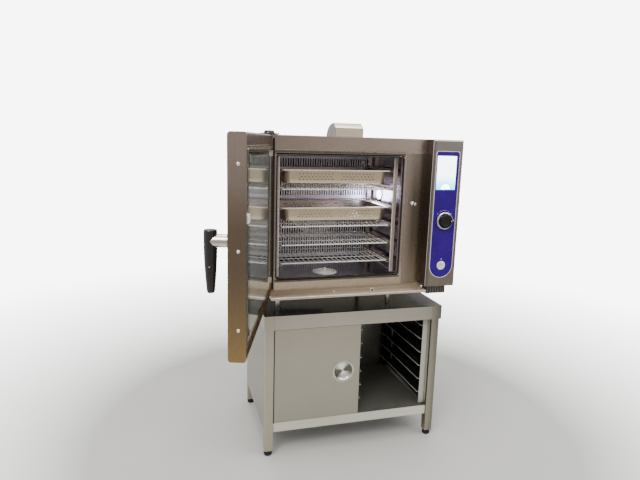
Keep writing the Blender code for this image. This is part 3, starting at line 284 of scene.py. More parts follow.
# ---- shapes -------------------------------------------------------------------------------
def new_object(mesh, matrix=None):
    made = bpy.data.objects.new("piece", mesh)
    bpy.context.scene.collection.objects.link(made)
    if matrix is not None:
        made.matrix_world = matrix
    return made


def from_bmesh(work):
    mesh = bpy.data.meshes.new("piece")
    bmesh.ops.recalc_face_normals(work, faces=work.faces)
    work.to_mesh(mesh)
    work.free()
    return new_object(mesh)


def baked(item):
    """Applies an object's modifiers, or turns a curve into a mesh, with its place kept."""
    bpy.context.view_layer.update()
    graph = bpy.context.evaluated_depsgraph_get()
    mesh = bpy.data.meshes.new_from_object(item.evaluated_get(graph))
    made = new_object(mesh, item.matrix_world.copy())
    bpy.data.objects.remove(item, do_unlink=True)
    work = bmesh.new()
    work.from_mesh(mesh)
    bmesh.ops.remove_doubles(work, verts=work.verts, dist=WELD)
    bmesh.ops.recalc_face_normals(work, faces=work.faces)
    work.to_mesh(mesh)
    work.free()
    return made


def modified(item, kind, **settings):
    """Adds a modifier and applies it."""
    step = item.modifiers.new("step", kind)
    for key, value in settings.items():
        setattr(step, key, value)
    return baked(item)


def rounded(item, width, angle=35.0):
    """Rounds an object's sharp edges."""
    turn = math.radians(angle)
    return modified(item, "BEVEL", width=width, segments=2, limit_method="ANGLE", angle_limit=turn)


def thickened(item, sheet):
    return modified(item, "SOLIDIFY", thickness=sheet, offset=0.0)


def block(low, high, edge=0.0, segments=2):
    low, high = Vector(low), Vector(high)
    work = bmesh.new()
    bmesh.ops.create_cube(work, size=1.0)
    bmesh.ops.scale(work, vec=high - low, verts=work.verts)
    bmesh.ops.translate(work, vec=(low + high) / 2, verts=work.verts)
    if edge:
        bmesh.ops.bevel(
            work, geom=work.edges[:], offset=edge, segments=segments, profile=0.5, affect="EDGES"
        )
    return from_bmesh(work)


AXIS_TURNS = {
    "X": Matrix(((0, 0, 1, 0), (1, 0, 0, 0), (0, 1, 0, 0), (0, 0, 0, 1))),
    "Y": Matrix(((1, 0, 0, 0), (0, 0, -1, 0), (0, 1, 0, 0), (0, 0, 0, 1))),
    "Z": Matrix.Identity(4),
}
AXIS_VECTORS = {"X": Vector((1, 0, 0)), "Y": Vector((0, 1, 0)), "Z": Vector((0, 0, 1))}


def prism(axis, low, high, *loops, edge=0.0):
    """A flat outline, with any holes, run from low to high along an axis."""
    outline = bpy.data.curves.new("outline", "CURVE")
    outline.dimensions = "2D"
    outline.fill_mode = "BOTH"
    outline.extrude = (high - low) / 2
    for loop in loops:
        line = outline.splines.new("POLY")
        line.points.add(len(loop) - 1)
        for point, (across, up) in zip(line.points, loop):
            point.co = (across, up, 0.0, 1.0)
        line.use_cyclic_u = True
    place = Matrix.Translation(AXIS_VECTORS[axis] * ((low + high) / 2)) @ AXIS_TURNS[axis]
    drawn = baked(new_object(outline, place))
    drawn.data.transform(drawn.matrix_world)
    drawn.matrix_world = Matrix.Identity(4)
    return rounded(drawn, edge) if edge else drawn


TURNS = {
    "Z": Matrix.Identity(4),
    "-Z": Matrix.Rotation(math.pi, 4, "X"),
    "Y": Matrix.Rotation(-math.pi / 2, 4, "X"),
    "-Y": Matrix.Rotation(math.pi / 2, 4, "X"),
    "X": Matrix.Rotation(math.pi / 2, 4, "Y"),
    "-X": Matrix.Rotation(-math.pi / 2, 4, "Y"),
}


def spun(profile, base, towards="Z", steps=48, across=MM, ring=False):
    """A turned piece from (radius, height) points in millimetres, from its tip to its base.

    Radii are in units of across. The ends are closed to the axis, or to each other for a ring.
    """
    if ring:
        profile = [*profile, profile[0]]
    else:
        profile = [(0, profile[0][1]), *profile, (0, profile[-1][1])]
    work = bmesh.new()
    points = [work.verts.new((radius * across, 0.0, height * MM)) for radius, height in profile]
    for first, second in zip(points, points[1:]):
        work.edges.new((first, second))
    bmesh.ops.spin(
        work, geom=work.verts[:] + work.edges[:], cent=(0, 0, 0), axis=(0, 0, 1), angle=2 * math.pi,
        steps=steps, use_duplicate=False,
    )
    bmesh.ops.remove_doubles(work, verts=work.verts, dist=WELD)
    made = from_bmesh(work)
    made.data.transform(Matrix.Translation(Vector(base)) @ TURNS[towards])
    return made


def rod(axis, centre, radius, low, high, sides=24):
    """A round bar; centre holds its other two coordinates."""
    base = list(centre)
    base.insert("XYZ".index(axis), low)
    return spun([(radius, (high - low) / MM), (radius, 0)], base, axis, sides, across=1.0)


def tube(points, radius, closed=False, roundness=3):
    """A bent round bar along straight runs."""
    path = bpy.data.curves.new("path", "CURVE")
    path.dimensions = "3D"
    path.bevel_depth = radius
    path.bevel_resolution = roundness
    path.use_fill_caps = True
    line = path.splines.new("POLY")
    line.points.add(len(points) - 1)
    for point, place in zip(line.points, points):
        point.co = (*place, 1.0)
    line.use_cyclic_u = closed
    return baked(new_object(path))


def merge(*items):
    """Joins loose shapes into one object."""
    work = bmesh.new()
    for item in items:
        count = len(work.verts)
        work.from_mesh(item.data)
        work.verts.ensure_lookup_table()
        bmesh.ops.transform(work, matrix=item.matrix_world, verts=work.verts[count:])
        bpy.data.objects.remove(item, do_unlink=True)
    mesh = bpy.data.meshes.new("piece")
    work.to_mesh(mesh)
    work.free()
    return new_object(mesh)


def cut(item, cutter):
    made = modified(item, "BOOLEAN", operation="DIFFERENCE", solver="EXACT", object=cutter)
    bpy.data.objects.remove(cutter, do_unlink=True)
    return made


def arc(centre, radius, start, end, steps):
    points = []
    for step in range(steps + 1):
        angle = math.radians(start + (end - start) * step / steps)
        points.append((centre[0] + radius * math.cos(angle), centre[1] + radius * math.sin(angle)))
    return points


def rectangle(left, right, low, high, radius=0.0, steps=5):
    if not radius:
        return [(left, low), (right, low), (right, high), (left, high)]
    corners = (
        (right - radius, low + radius, -90), (right - radius, high - radius, 0),
        (left + radius, high - radius, 90), (left + radius, low + radius, 180),
    )
    outline = []
    for across, up, start in corners:
        outline += arc((across, up), radius, start, start + 90, steps)
    return outline


def front_outline(low, high, inset, radius=0.0, steps=5):
    """A box's outline as seen from the front, drawn in by an inset."""
    return rectangle(low.x + inset, high.x - inset, low.z + inset, high.z - inset, radius, steps)


def plan_outline(low, high, inset, radius=0.0, steps=5):
    return rectangle(low.x + inset, high.x - inset, low.y + inset, high.y - inset, radius, steps)


def dome(place, towards, radius, height=None, recess=0.4):
    """A domed screw head with a round socket in it."""
    tall = (height or radius * 0.55) / MM
    profile = [
        (recess * 0.8, tall * 0.45), (recess, tall * 0.98), (0.62, tall * 0.86), (0.86, tall * 0.5), (1, 0),
    ]
    return spun(profile, place, towards, 20, across=radius)


def domes(places, towards, radius, height=None, recess=0.4):
    return merge(*(dome(place, towards, radius, height, recess) for place in places))


def piece(name, item, look, slot, body="unit", covers=False):
    """Names a finished shape, gives it its look and puts it on its CAD body.

    A piece that covers its slot's CAD node stands in for it.
    """
    item.name = name
    item.data.name = name
    item.data.materials.clear()
    item.data.materials.append(look)
    item.data.shade_smooth()
    item.data.set_sharp_from_angle(angle=SHARP_ANGLE)
    item.modifiers.new("normals", "WEIGHTED_NORMAL").keep_sharp = True
    if body in DOOR_BODIES:
        item.matrix_world = DOOR @ item.matrix_world
    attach(item, body)
    if covers:
        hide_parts(slot)
    return item


def cover(name, item, look, slot, body="unit"):
    return piece(name, item, look, slot, body, covers=True)


def dress(look, *names):
    """Gives CAD nodes that stay in view their finish."""
    for name in names:
        mesh = frame["nodes"][name].data
        mesh.materials.clear()
        mesh.materials.append(look)


# ---- finishes -----------------------------------------------------------------------------
PLAIN_STEEL = (0.50, 0.47, 0.42)
SIDE_STEEL = (0.42, 0.395, 0.36)
BRIGHT = (0.78, 0.76, 0.73)
FLOOR_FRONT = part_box("stand_floor")[0].y

# painted reflection: the face turns paler and warmer below z 0.92 and darker towards its left edge
look_face = steel(
    "steel_face", (0.46, 0.39, 0.34), "X", 0.28,
    (("Z", 0.92, 0.82, (0.66, 0.56, 0.43)), ("X", 0.30, -0.05, (0.36, 0.30, 0.25))),
)
# painted shade: the housing turns greyer and darker at its top and much darker towards its left edge
look_housing = steel(
    "steel_housing", (0.31, 0.27, 0.23), "Z", 0.30,
    (("Z", 1.40, 1.47, (0.25, 0.235, 0.225)), ("X", 0.765, 0.740, (0.13, 0.11, 0.10))),
)
# painted reflection: a dark band below z 1.40, a paler warm band near the bottom and a lighter left edge
look_side_panel = steel(
    "steel_side_panel", (0.27, 0.235, 0.205), "Z", 0.26,
    (
        ("Z", 1.40, 1.22, (0.15, 0.125, 0.095)), ("Z", 1.02, 0.84, (0.30, 0.24, 0.17)),
        ("X", 0.690, 0.648, (0.40, 0.35, 0.30)),
    ),
)
look_lower_rail = steel("steel_lower_rail", (0.68, 0.585, 0.455), "X", 0.27)
look_casing = steel("steel_casing", PLAIN_STEEL, "Y")
# painted light and shade: the hood's sides get a dark, shaded copy of its steel and its skin a pale, lit copy
look_hood_side = steel("steel_hood_side", (0.40, 0.37, 0.33), "Z")
look_hood = steel("steel_hood", (0.80, 0.73, 0.59))
look_tray = steel("steel_tray", (0.56, 0.475, 0.37), metal=0.7)
# painted reflection: the door darkens from z 1.42 down to 1.20 and turns brown towards the bottom
look_door = steel(
    "steel_door", (0.40, 0.34, 0.30), "Z", 0.28,
    (("Z", 1.42, 1.20, (0.22, 0.18, 0.135)), ("Z", 1.08, 0.80, (0.40, 0.28, 0.13))),
)

# painted shade: the stand's steel darkens towards its right end
look_stand = steel("steel_stand", PLAIN_STEEL, "X", 0.36, (("X", 0.76, 0.86, (0.36, 0.34, 0.29)),))
# painted shade: the sliding doors get darker towards the bottom
look_stand_door = steel(
    "steel_stand_door", (0.44, 0.41, 0.345), "Z", 0.36, (("Z", 0.45, 0.16, (0.40, 0.372, 0.315)),)
)
look_stand_side = steel("steel_stand_side", (0.38, 0.355, 0.315), "Y", 0.34)
look_stand_back = steel("steel_stand_back", (0.42, 0.40, 0.37))
# painted shade: behind its front edge the stand's floor is much darker
look_stand_floor = steel(
    "steel_stand_floor", (0.62, 0.59, 0.52), "Y", 0.30,
    (("Y", FLOOR_FRONT + 0.002, FLOOR_FRONT + 0.004, (0.145, 0.145, 0.127)),), 0.2,
)
# painted highlight: a pale, mostly non-metallic tone so the ledge lips read as lit edges
look_ledge_lip = steel("steel_ledge_lip", (0.80, 0.80, 0.77), "Y", 0.34, metal=0.3)
# painted shade: the right leg is much darker; the legs also turn a little yellower towards the floor
look_leg = steel(
    "steel_leg", (0.47, 0.43, 0.37), "Z", 0.34,
    (("Z", 0.60, 0.02, (0.47, 0.43, 0.33)), ("X", 0.78, 0.85, (0.185, 0.175, 0.14))),
)
# painted reflection: the worktop's steel is near-black, lightening towards its right end
look_top = steel(
    "steel_top", (0.009, 0.009, 0.008), "X", 0.16, (("X", 0.76, 0.88, (0.17, 0.168, 0.15)),), 0.0
)
feed(look_top.node_tree.nodes["Principled BSDF"], Specular_IOR_Level=0.07)

look_cavity = cavity_metal()
# painted light: a near-white, lavender-tinted copy of the cavity's steel, lit as by the lamp
look_guard = steel("steel_guard", (0.88, 0.86, 0.94), "Z", 0.36, metal=0.55)
look_rack = steel("steel_rack", (0.66, 0.58, 0.50), "Z", 0.24)
look_strip = steel("steel_strip", (0.55, 0.45, 0.38), "Z", 0.34, metal=0.55)
look_pan = steel("steel_pan", (0.72, 0.63, 0.46))
# painted shade: a darker copy of the pans' steel for their inner walls
look_pan_inside = steel("steel_pan_inside", (0.44, 0.385, 0.34), "X", 0.28)
look_coil = steel("coil_metal", (0.20, 0.17, 0.15), "Z", 0.45)
look_wool = plastic("mineral_wool", (0.70, 0.66, 0.52), 0.95, 0.9)
look_motor = plastic("motor_paint", (0.10, 0.11, 0.12), 0.5)

look_lip = polished("lip_metal", (0.17, 0.145, 0.115), 0.16)
# partly painted sheen: polished steel's own brightness, raised to a near-white, mostly non-metallic tone so
# wires, rims and edges read bright
look_wire = polished("wire_metal", (1.0, 0.97, 0.92), 0.22, metal=0.35)
look_bright = polished("bright_metal", BRIGHT, 0.16)
look_chrome = polished("chrome", (0.86, 0.85, 0.84), 0.07)
look_brass = polished("brass", (0.72, 0.55, 0.26), 0.22)
look_foot_metal = polished("foot_metal", (0.60, 0.55, 0.50), 0.25)
look_button = polished("button_metal", (0.95, 0.95, 0.96), 0.30, metal=0.3)
look_neck = polished("neck_metal", (0.74, 0.70, 0.66), 0.20, 0.06)

look_black = plastic("black_gloss", (0.012, 0.012, 0.013), 0.16, 0.02, 0.3)
look_black_matt = plastic("black_matt", (0.02, 0.02, 0.021), 0.45)
look_dark_insert = plastic("dark_insert", (0.045, 0.045, 0.05), 0.22)
look_fascia = plastic("blue_fascia", (0.026, 0.004, 0.165), 0.24, 0.01, specular=0.2)
look_trim = plastic("fascia_trim", (0.62, 0.60, 0.66))
look_white_print = plastic("white_print", (0.80, 0.82, 0.88), 0.4)
look_symbol = plastic("symbol_grey", (0.30, 0.30, 0.34), 0.4)
look_latch = plastic("latch_white", (0.80, 0.72, 0.68), 0.25)
look_print = plastic("glass_border", (0.012, 0.013, 0.013), 0.12, 0.0, 0.6)
look_knob = rubber("knob_black", (0.007, 0.007, 0.008), 0.30)
look_rubber = rubber("rubber_black", (0.014, 0.014, 0.015))
# painted shade: a dark brown for the door's recess, which lies in shade
look_recess = rubber("recess_dark", (0.040, 0.024, 0.019), 0.30)

look_inner_glass = glass_dark("inner_glass", (0.50, 0.53, 0.48), 0.04, 0.72)
look_outer_glass = glass_dark("outer_glass", (0.05, 0.055, 0.055), 0.03, 0.35)
look_lamp = glowing("lamp_glass", (0.80, 0.80, 1.0), 3.8)
look_screen_white = glowing("screen_white", (1.0, 1.0, 1.0), 9.0)
look_screen_grey = glowing("screen_grey", (0.62, 0.78, 0.86), 2.6)


# ---- the stand ----------------------------------------------------------------------------
def stand():
    dress(look_stand_back, "stand_back")
    dress(look_stand_floor, "stand_floor")
    dress(look_leg, "stand_leg_frame_left", "stand_leg_frame_right")
    dress(look_stand_side, "stand_side_left")
    dress(dark_inside("stand_side_right"), "stand_side_right")
    dress(look_stand_door, "sliding_door_front", "sliding_door_rear")
    ledges()
    painted_gap_shadows()
    stand_top()
    for depth in DEPTHS:
        cup_pull(depth)
    for corner in CORNERS:
        stand_foot(f"stand_foot_{corner}")


def dark_inside(name):
    """A side sheet's steel, with painted shade making it nearly black on the face that looks into the stand.
    """
    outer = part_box(name)[1].x
    inward = ("X", outer - 0.0004, outer - 0.0008, (0.02, 0.02, 0.02))
    return steel("steel_inside", SIDE_STEEL, "Y", 0.34, (inward,))


def ledges():
    """The runner racks: bright posts, ledges in painted shade, and a lip on each ledge with a painted
    highlight.
    """
    racks = {"left": (1,), "middle": (0, 1), "right": (0,)}
    lowest, pitch, levels = 0.220, 0.071, 6
    half, deep = 0.0011, 0.0008
    front, rear = (corner.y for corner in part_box("stand_runners_right"))
    # painted shade: the runners go nearly black behind their front faces
    shade = ("Y", front + 0.0015, front + 0.0030, (0.016, 0.016, 0.015))
    look = steel("steel_runner", (0.85, 0.84, 0.78), "Y", 0.34, (shade,), metal=0.4)
    dress(look, *(f"stand_runners_{side}" for side in racks))
    lips = []
    for side, ends in racks.items():
        for end in ends:
            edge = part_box(f"stand_runners_{side}")[end].x
            for level in range(levels):
                z = lowest + pitch * level - deep
                lips.append(
                    block((edge - half, front + 0.002, z), (edge + half, rear - 0.002, z + 0.0036), 0.0005, 1)
                )
    piece("stand_ledge_lips", merge(*lips), look_ledge_lip, "stand_runners_right")


def painted_gap_shadows():
    """Dark strips that paint the shadow in the gaps beside the legs and under the apron."""
    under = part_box("stand_top")[0].z
    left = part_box("stand_leg_frame_left")[1].x
    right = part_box("stand_leg_frame_right")[0].x
    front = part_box("stand_leg_frame_left")[0].y + 0.003
    back = front + 0.002
    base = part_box("stand_floor")[1].z
    gap = 0.0045
    # painted shadow: rubber-black strips where there are only shaded gaps
    strips = [
        block((left, front, under - gap), (right, back, under - HAIR)),
        block((left + HAIR, front, base), (left + gap, back, under - gap)),
        block((right - gap, front, base), (right - HAIR, back, under - gap)),
    ]
    piece("stand_painted_gap_shadows", merge(*strips), look_rubber, "stand_top")


def stand_top():
    """The folded top: a worktop sheet, an apron round it, corner pieces and door guides."""
    low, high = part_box("stand_top")
    sheet = 0.0018
    top = block((low.x, low.y, high.z - sheet), high, 0.0007)
    cover("stand_worktop", top, look_top, "stand_top")
    apron = prism(
        "Z", low.z, high.z - sheet - 2 * HAIR, plan_outline(low, high, 0.0, 0.0015, 2),
        plan_outline(low, high, sheet, 0.0005, 1), edge=0.0004,
    )
    piece("stand_apron", apron, look_stand, "stand_top")
    hem_drop, hem_in = 0.0016, 0.012
    hems = [
        block((low.x + sheet, y, low.z), (high.x - sheet, y + hem_in - sheet, low.z + hem_drop))
        for y in (low.y + sheet, high.y - hem_in)
    ]
    piece("stand_apron_hems", merge(*hems), look_stand, "stand_top")
    leg_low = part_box("stand_leg_frame_left")[0]
    leg, proud = 0.040, 0.0006
    reach = leg + 2 * (leg_low.x - low.x)
    corners = []
    for left in (low.x - proud, high.x - reach):
        for y in (low.y - proud, high.y):
            start, end = (left, y, low.z + 0.0004), (left + reach + proud, y + proud, high.z - 0.001)
            corners.append(block(start, end, 0.0002, 1))
    piece("stand_apron_corners", merge(*corners), look_leg, "stand_top")
    guides = []
    for offset in (0.0130, 0.0280, 0.0432):
        y = low.y + offset
        start = (leg_low.x + leg + 0.001, y, low.z + 0.006)
        guides.append(block(start, (high.x - leg - 0.007, y + 0.0012, high.z - 0.002)))
    piece("sliding_door_guides", merge(*guides), look_stand, "stand_top")


def cup_pull(side):
    """The dished finger cup: a flat ring and a turned bowl."""
    name = f"sliding_door_{side}_cup"
    centre = middle_of(name)
    radius = half_width(name) / MM
    bowl, deep = radius - 11.5, 10.4
    profile = [
        (bowl * 0.30, 0.9 - deep), (bowl * 0.60, 2.2 - deep), (bowl * 0.82, 4.6 - deep),
        (bowl * 0.95, -2.8), (bowl, 0.2), (bowl + 0.9, 1.4), (bowl + 2.2, 1.8), (radius - 1.8, 1.7),
        (radius - 0.5, 1.2), (radius, 0.2), (bowl + 4.5, 0.2), (bowl + 4.0, -3.0),
        (bowl * 0.84, 3.2 - deep), (bowl * 0.60, 1.0 - deep), (0, -deep),
    ]
    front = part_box(name)[0].y + 0.0016
    cup = spun([(0, 0.8 - deep), *profile], (centre.x, front, centre.z), "-Y", 96)
    cover(f"cup_{side}", cup, look_cup(side), name, f"sliding_door_{side}")


def look_cup(side):
    """Turned steel: fine rings, and two painted highlight wedges and two painted shade wedges across the
    bowl.
    """
    name = f"sliding_door_{side}_cup"
    centre = middle_of(name)
    bowl_edge = half_width(name) - 0.010
    look, tree, shader = new_look(f"cup_metal_{side}")
    offset = node(tree, "ShaderNodeVectorMath", operation="SUBTRACT")
    put(offset.inputs[0], coordinates(tree))
    put(offset.inputs[1], (centre.x, 0.0, centre.z))
    flat = node(tree, "ShaderNodeVectorMath", operation="MULTIPLY")
    put(flat.inputs[0], offset.outputs[0])
    put(flat.inputs[1], (1.0, 0.0, 1.0))
    distance = length_of(tree, flat.outputs[0])
    rings = maths(tree, "SINE", maths(tree, "MULTIPLY", distance, 9000.0))
    parts = node(tree, "ShaderNodeSeparateXYZ", Vector=flat.outputs[0]).outputs
    turn = maths(tree, "ARCTAN2", parts["Z"], parts["X"])
    # painted reflection: the bowl's tone swings from dark to bright twice round its centre
    lobes = maths(tree, "COSINE", maths(tree, "ADD", maths(tree, "MULTIPLY", turn, 2.0), -3.7))
    bowl = mixed(tree, spread(tree, lobes, 0.0, 1.0, -0.7, 0.7), (0.13, 0.125, 0.10), (1.0, 0.99, 0.93))
    outside = spread(tree, distance, 0.0, 1.0, bowl_edge - 0.001, bowl_edge)
    tone = mixed(tree, outside, bowl, (0.56, 0.54, 0.46))
    tone = mixed(tree, 1.0, tone, spread(tree, rings, 0.92, 1.04, -1.0, 1.0), "MULTIPLY")
    smudge = noise(tree, coordinates(tree), 60.0, 4.0)
    feed(shader, Base_Color=tone, Metallic=1.0, Roughness=spread(tree, smudge, 0.12, 0.24))
    bump(tree, shader, rings, 0.03, 0.0001)
    return look


def length_of(tree, vector):
    distance = node(tree, "ShaderNodeVectorMath", operation="LENGTH")
    put(distance.inputs[0], vector)
    return distance.outputs["Value"]


def stand_foot(name):
    """A ribbed rubber foot and its stud."""
    centre = middle_of(name)
    radius = half_width(name) / MM
    tall, stud_top = 24.7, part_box(name)[1].z / MM
    profile = [(16.5, tall), (18.0, tall - 1.0), (radius * 0.95, tall - 3.0)]
    for rib in range(4):
        height = tall - 5 - rib * 4
        profile += [(radius, height), (radius, height - 1.8), (radius * 0.95, height - 2.6)]
    profile += [(radius * 0.92, 1.5), (radius * 0.86, 0)]
    base = (centre.x, centre.y, 0.0)
    cover(name + "_rubber", spun(profile, base), look_rubber, name, name)
    stud = spun([(4.8, stud_top), (4.8, tall)], base, "Z", 16)
    piece(name + "_stud", stud, look_chrome, name, name)


# ---- the oven's outside -------------------------------------------------------------------
def oven_outside():
    dress(look_casing, "oven_casing", "oven_back_panel")
    dress(look_face, "oven_chassis")
    dress(look_wool, "insulation_jacket")
    face_trim()
    mouth_seal()
    drip_tray()
    hood()
    for corner in CORNERS:
        oven_foot(f"oven_foot_{corner}")
    back_details()
    side_details()
    underside_details()
    hinge_details()


def face_trim():
    """The mouth's folded lips, the side panel, the strips on the steel face, and a dark strip that paints the
    shadow of the gap on the hinge side.
    """
    low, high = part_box("oven_chassis")
    liner_low, liner_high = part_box("cavity_liner")
    face = low.y
    flat, proud = face - HAIR, face - 0.0012
    mouth_left, mouth_right = liner_low.x + 0.0015, liner_high.x - 0.0015
    mouth_low, mouth_high = 0.845, liner_high.z
    sill = (mouth_low, 0.0010, [(0.1, -0.6), (3.0, -1.2), (5.2, -4.0), (5.2, -8.5), (0.1, -12.0)])
    lintel = (
        mouth_high, 0.0016,
        [(0.1, 2.0), (3.0, 1.0), (6.8, -5.0), (6.8, -11.0), (3.0, -16.5), (0.1, -18.0)],
    )
    for name, (height, edge, section) in (("mouth_sill", sill), ("mouth_lintel", lintel)):
        outline = [(face - out * MM, height + up * MM) for out, up in section]
        fold = prism("X", mouth_left - 0.004, mouth_right + 0.004, outline, edge=edge)
        piece(name, fold, look_lip, "cavity_liner")
    panel_left, panel_right = mouth_right + 0.016, high.x - 0.001
    panel = prism(
        "Y", proud, flat,
        rectangle(panel_left, panel_right, low.z + 0.012, mouth_high - 0.002, 0.0015, 2), edge=0.0004,
    )
    piece("side_panel", panel, look_side_panel, "oven_chassis")
    lines = [
        block((panel_left, face - 0.0017, mouth_high - 0.0035), (panel_right, proud, mouth_high - 0.0018)),
        block((low.x, face - 0.0008, high.z - 0.0030), (high.x, face, high.z - 0.0008)),
    ]
    piece("face_edge_lines", merge(*lines), look_bright, "oven_chassis")
    rail_low = (mouth_left - 0.004, face - 0.0010, low.z + 0.004)
    rail = block(rail_low, (panel_left - 0.002, flat, mouth_low - 0.0130), 0.0004)
    piece("lower_rail", rail, look_lower_rail, "oven_chassis")
    # painted shadow: a dark strip standing in for the shade in the gap beside the door
    strip = block((0.004, face - 0.0016, 0.800), (mouth_left - 0.0085, flat, high.z - 0.014), 0.0005, 1)
    piece("hinge_side_strip", strip, look_rubber, "oven_chassis")


def mouth_seal():
    """The rubber seal inside the mouth: a base, a thinner neck and a round lip at its front."""
    low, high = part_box("door_gasket")
    wide, bead = 0.0030, 0.0015
    base = prism(
        "Y", low.y + 0.0075, high.y, front_outline(low, high, 0.0, 0.013, 6),
        front_outline(low, high, wide, 0.010, 6), edge=0.0006,
    )
    cover("seal_base", base, look_rubber, "door_gasket")
    lip = [(x, low.y + bead, z) for x, z in front_outline(low, high, wide / 2, 0.011, 8)]
    piece("seal_bead", tube(lip, bead, closed=True, roundness=4), look_rubber, "door_gasket")
    neck = prism(
        "Y", low.y + bead, low.y + 0.0078, front_outline(low, high, 0.0008, 0.012, 6),
        front_outline(low, high, 0.0022, 0.011, 6),
    )
    piece("seal_neck", neck, look_rubber, "door_gasket")


def drip_tray():
    """The gutter: folded lips, a rolled edge, a screw, an outlet bush and end caps."""
    low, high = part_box("drip_tray")
    chassis_low, chassis_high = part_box("oven_chassis")
    lip, end_sheet = 0.0016, 0.0015
    wall = high.y - 0.0006 - lip
    section = [
        (wall + lip, high.z), (wall, high.z), (wall, low.z + 0.0045), (low.y + 0.012, low.z + 0.0020),
        (low.y + 0.004, low.z + 0.0020), (low.y + lip, low.z + 0.0060), (low.y + lip, high.z - 0.0105),
        (low.y + 0.0050, high.z - 0.0085), (low.y + 0.0050, high.z - 0.0070),
        (low.y + 0.0008, high.z - 0.0092), (low.y, high.z - 0.0120), (low.y, low.z + 0.0050),
        (low.y + 0.0030, low.z), (low.y + 0.014, low.z), (high.y, low.z + 0.0028), (high.y, high.z),
    ]
    cover("drip_gutter", prism("X", low.x, high.x, section, edge=0.0003), look_tray, "drip_tray")
    flange = block(
        (low.x + 0.003, high.y + HAIR, high.z - 0.003),
        (chassis_high.x, high.y + 0.0006, chassis_low.z + 0.0035),
    )
    piece("drip_gutter_flange", flange, look_tray, "drip_tray")
    front, back, base = low.y + 0.0008, high.y - 0.001, low.z + 0.001
    end = [(front, base), (back, base), (back, high.z - 0.001), (front, high.z - 0.012)]
    caps = [prism("X", left, left + end_sheet, end) for left in (low.x, high.x - end_sheet)]
    piece("drip_gutter_ends", merge(*caps), look_foot_metal, "drip_tray")
    roll = tube([(x, low.y + 0.0010, high.z - 0.0105) for x in (low.x, high.x)], 0.0015)
    piece("drip_gutter_roll", roll, look_wire, "drip_tray")
    screw = dome((0.309, wall, low.z + 0.0100), "-Y", 0.0050)
    piece("drip_screw", screw, look_wire, "drip_tray")
    outlet = (0.499, wall, low.z + 0.0104)
    bush = spun([(0, 0.4), (6.0, 0.4), (6.0, 2.6), (8.6, 2.6), (9.4, 0)], outlet, "-Y", 32)
    piece("drip_outlet_ring", bush, look_wire, "drip_tray")
    # painted shade: a black disc inside the outlet stands in for the dark of the hole
    plug = spun([(5.9, 1.2), (5.9, 0)], outlet, "-Y", 24)
    piece("drip_outlet_hole", plug, look_black_matt, "drip_tray")


def hood():
    """The exhaust hood: bent skin between two sides, with flanges and rivets."""
    low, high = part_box("exhaust_hood")
    front, back, base, ridge = low.y, high.y, low.z, high.z
    setback, wall, flange, thin = 0.035, 0.0016, 0.006, 0.0012
    crest = front + setback
    outline = [(back, base), (front, base), (front, base + 0.0427), (crest, ridge)]
    steps = 14
    for step in range(1, steps):
        turn = step / steps * math.pi / 2
        outline.append((crest + (back - crest) * math.sin(turn), base + (ridge - base) * math.cos(turn)))
    sides = merge(prism("X", low.x, low.x + wall, outline), prism("X", high.x - wall, high.x, outline))
    cover("hood_sides", sides, look_hood_side, "exhaust_hood")
    run = outline[1:] + [outline[0]]
    inner = [
        (min(max(y, front + wall), back - wall), z - wall if z > base + 0.002 else z)
        for y, z in reversed(run)
    ]
    skin = prism("X", low.x + wall, high.x - wall, run + inner)
    piece("hood_skin", rounded(skin, 0.0005, 50.0), look_hood, "exhaust_hood")
    left, right = low.x - flange, high.x + flange
    rims = []
    for x, y, to_x, to_y in (
        (left, front - flange, right, front), (left, back, right, back + flange),
        (left, front, low.x, back), (high.x, front, right, back),
    ):
        rims.append(block((x, y, base), (to_x, to_y, base + thin), 0.0003, 1))
    piece("hood_flanges", merge(*rims), look_hood, "exhaust_hood")
    places = [
        (x, y, base + thin)
        for x in (low.x - flange / 2, high.x + flange / 2)
        for y in (front + 0.015, (front + back) / 2, back - 0.015)
    ]
    piece("hood_rivets", domes(places, "Z", 0.0024, 0.0012, 0.2), look_chrome, "exhaust_hood")


def oven_foot(name):
    """A tapered steel foot with a collar."""
    centre = middle_of(name)
    top = 0.7876
    tall = (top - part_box(name)[0].z) / MM
    profile = [
        (0.98, 0), (1, -1.5), (1, -10), (0.93, -11.2), (0.90, -13), (0.93, 46 - tall), (0.80, 24 - tall),
        (0.64, 10 - tall), (0.62, 4 - tall), (0.64, 1.5 - tall), (0.58, -tall),
    ]
    foot = spun(profile, (centre.x, centre.y, top), across=half_width(name))
    cover(name + "_leg", foot, look_foot_metal, name, name)


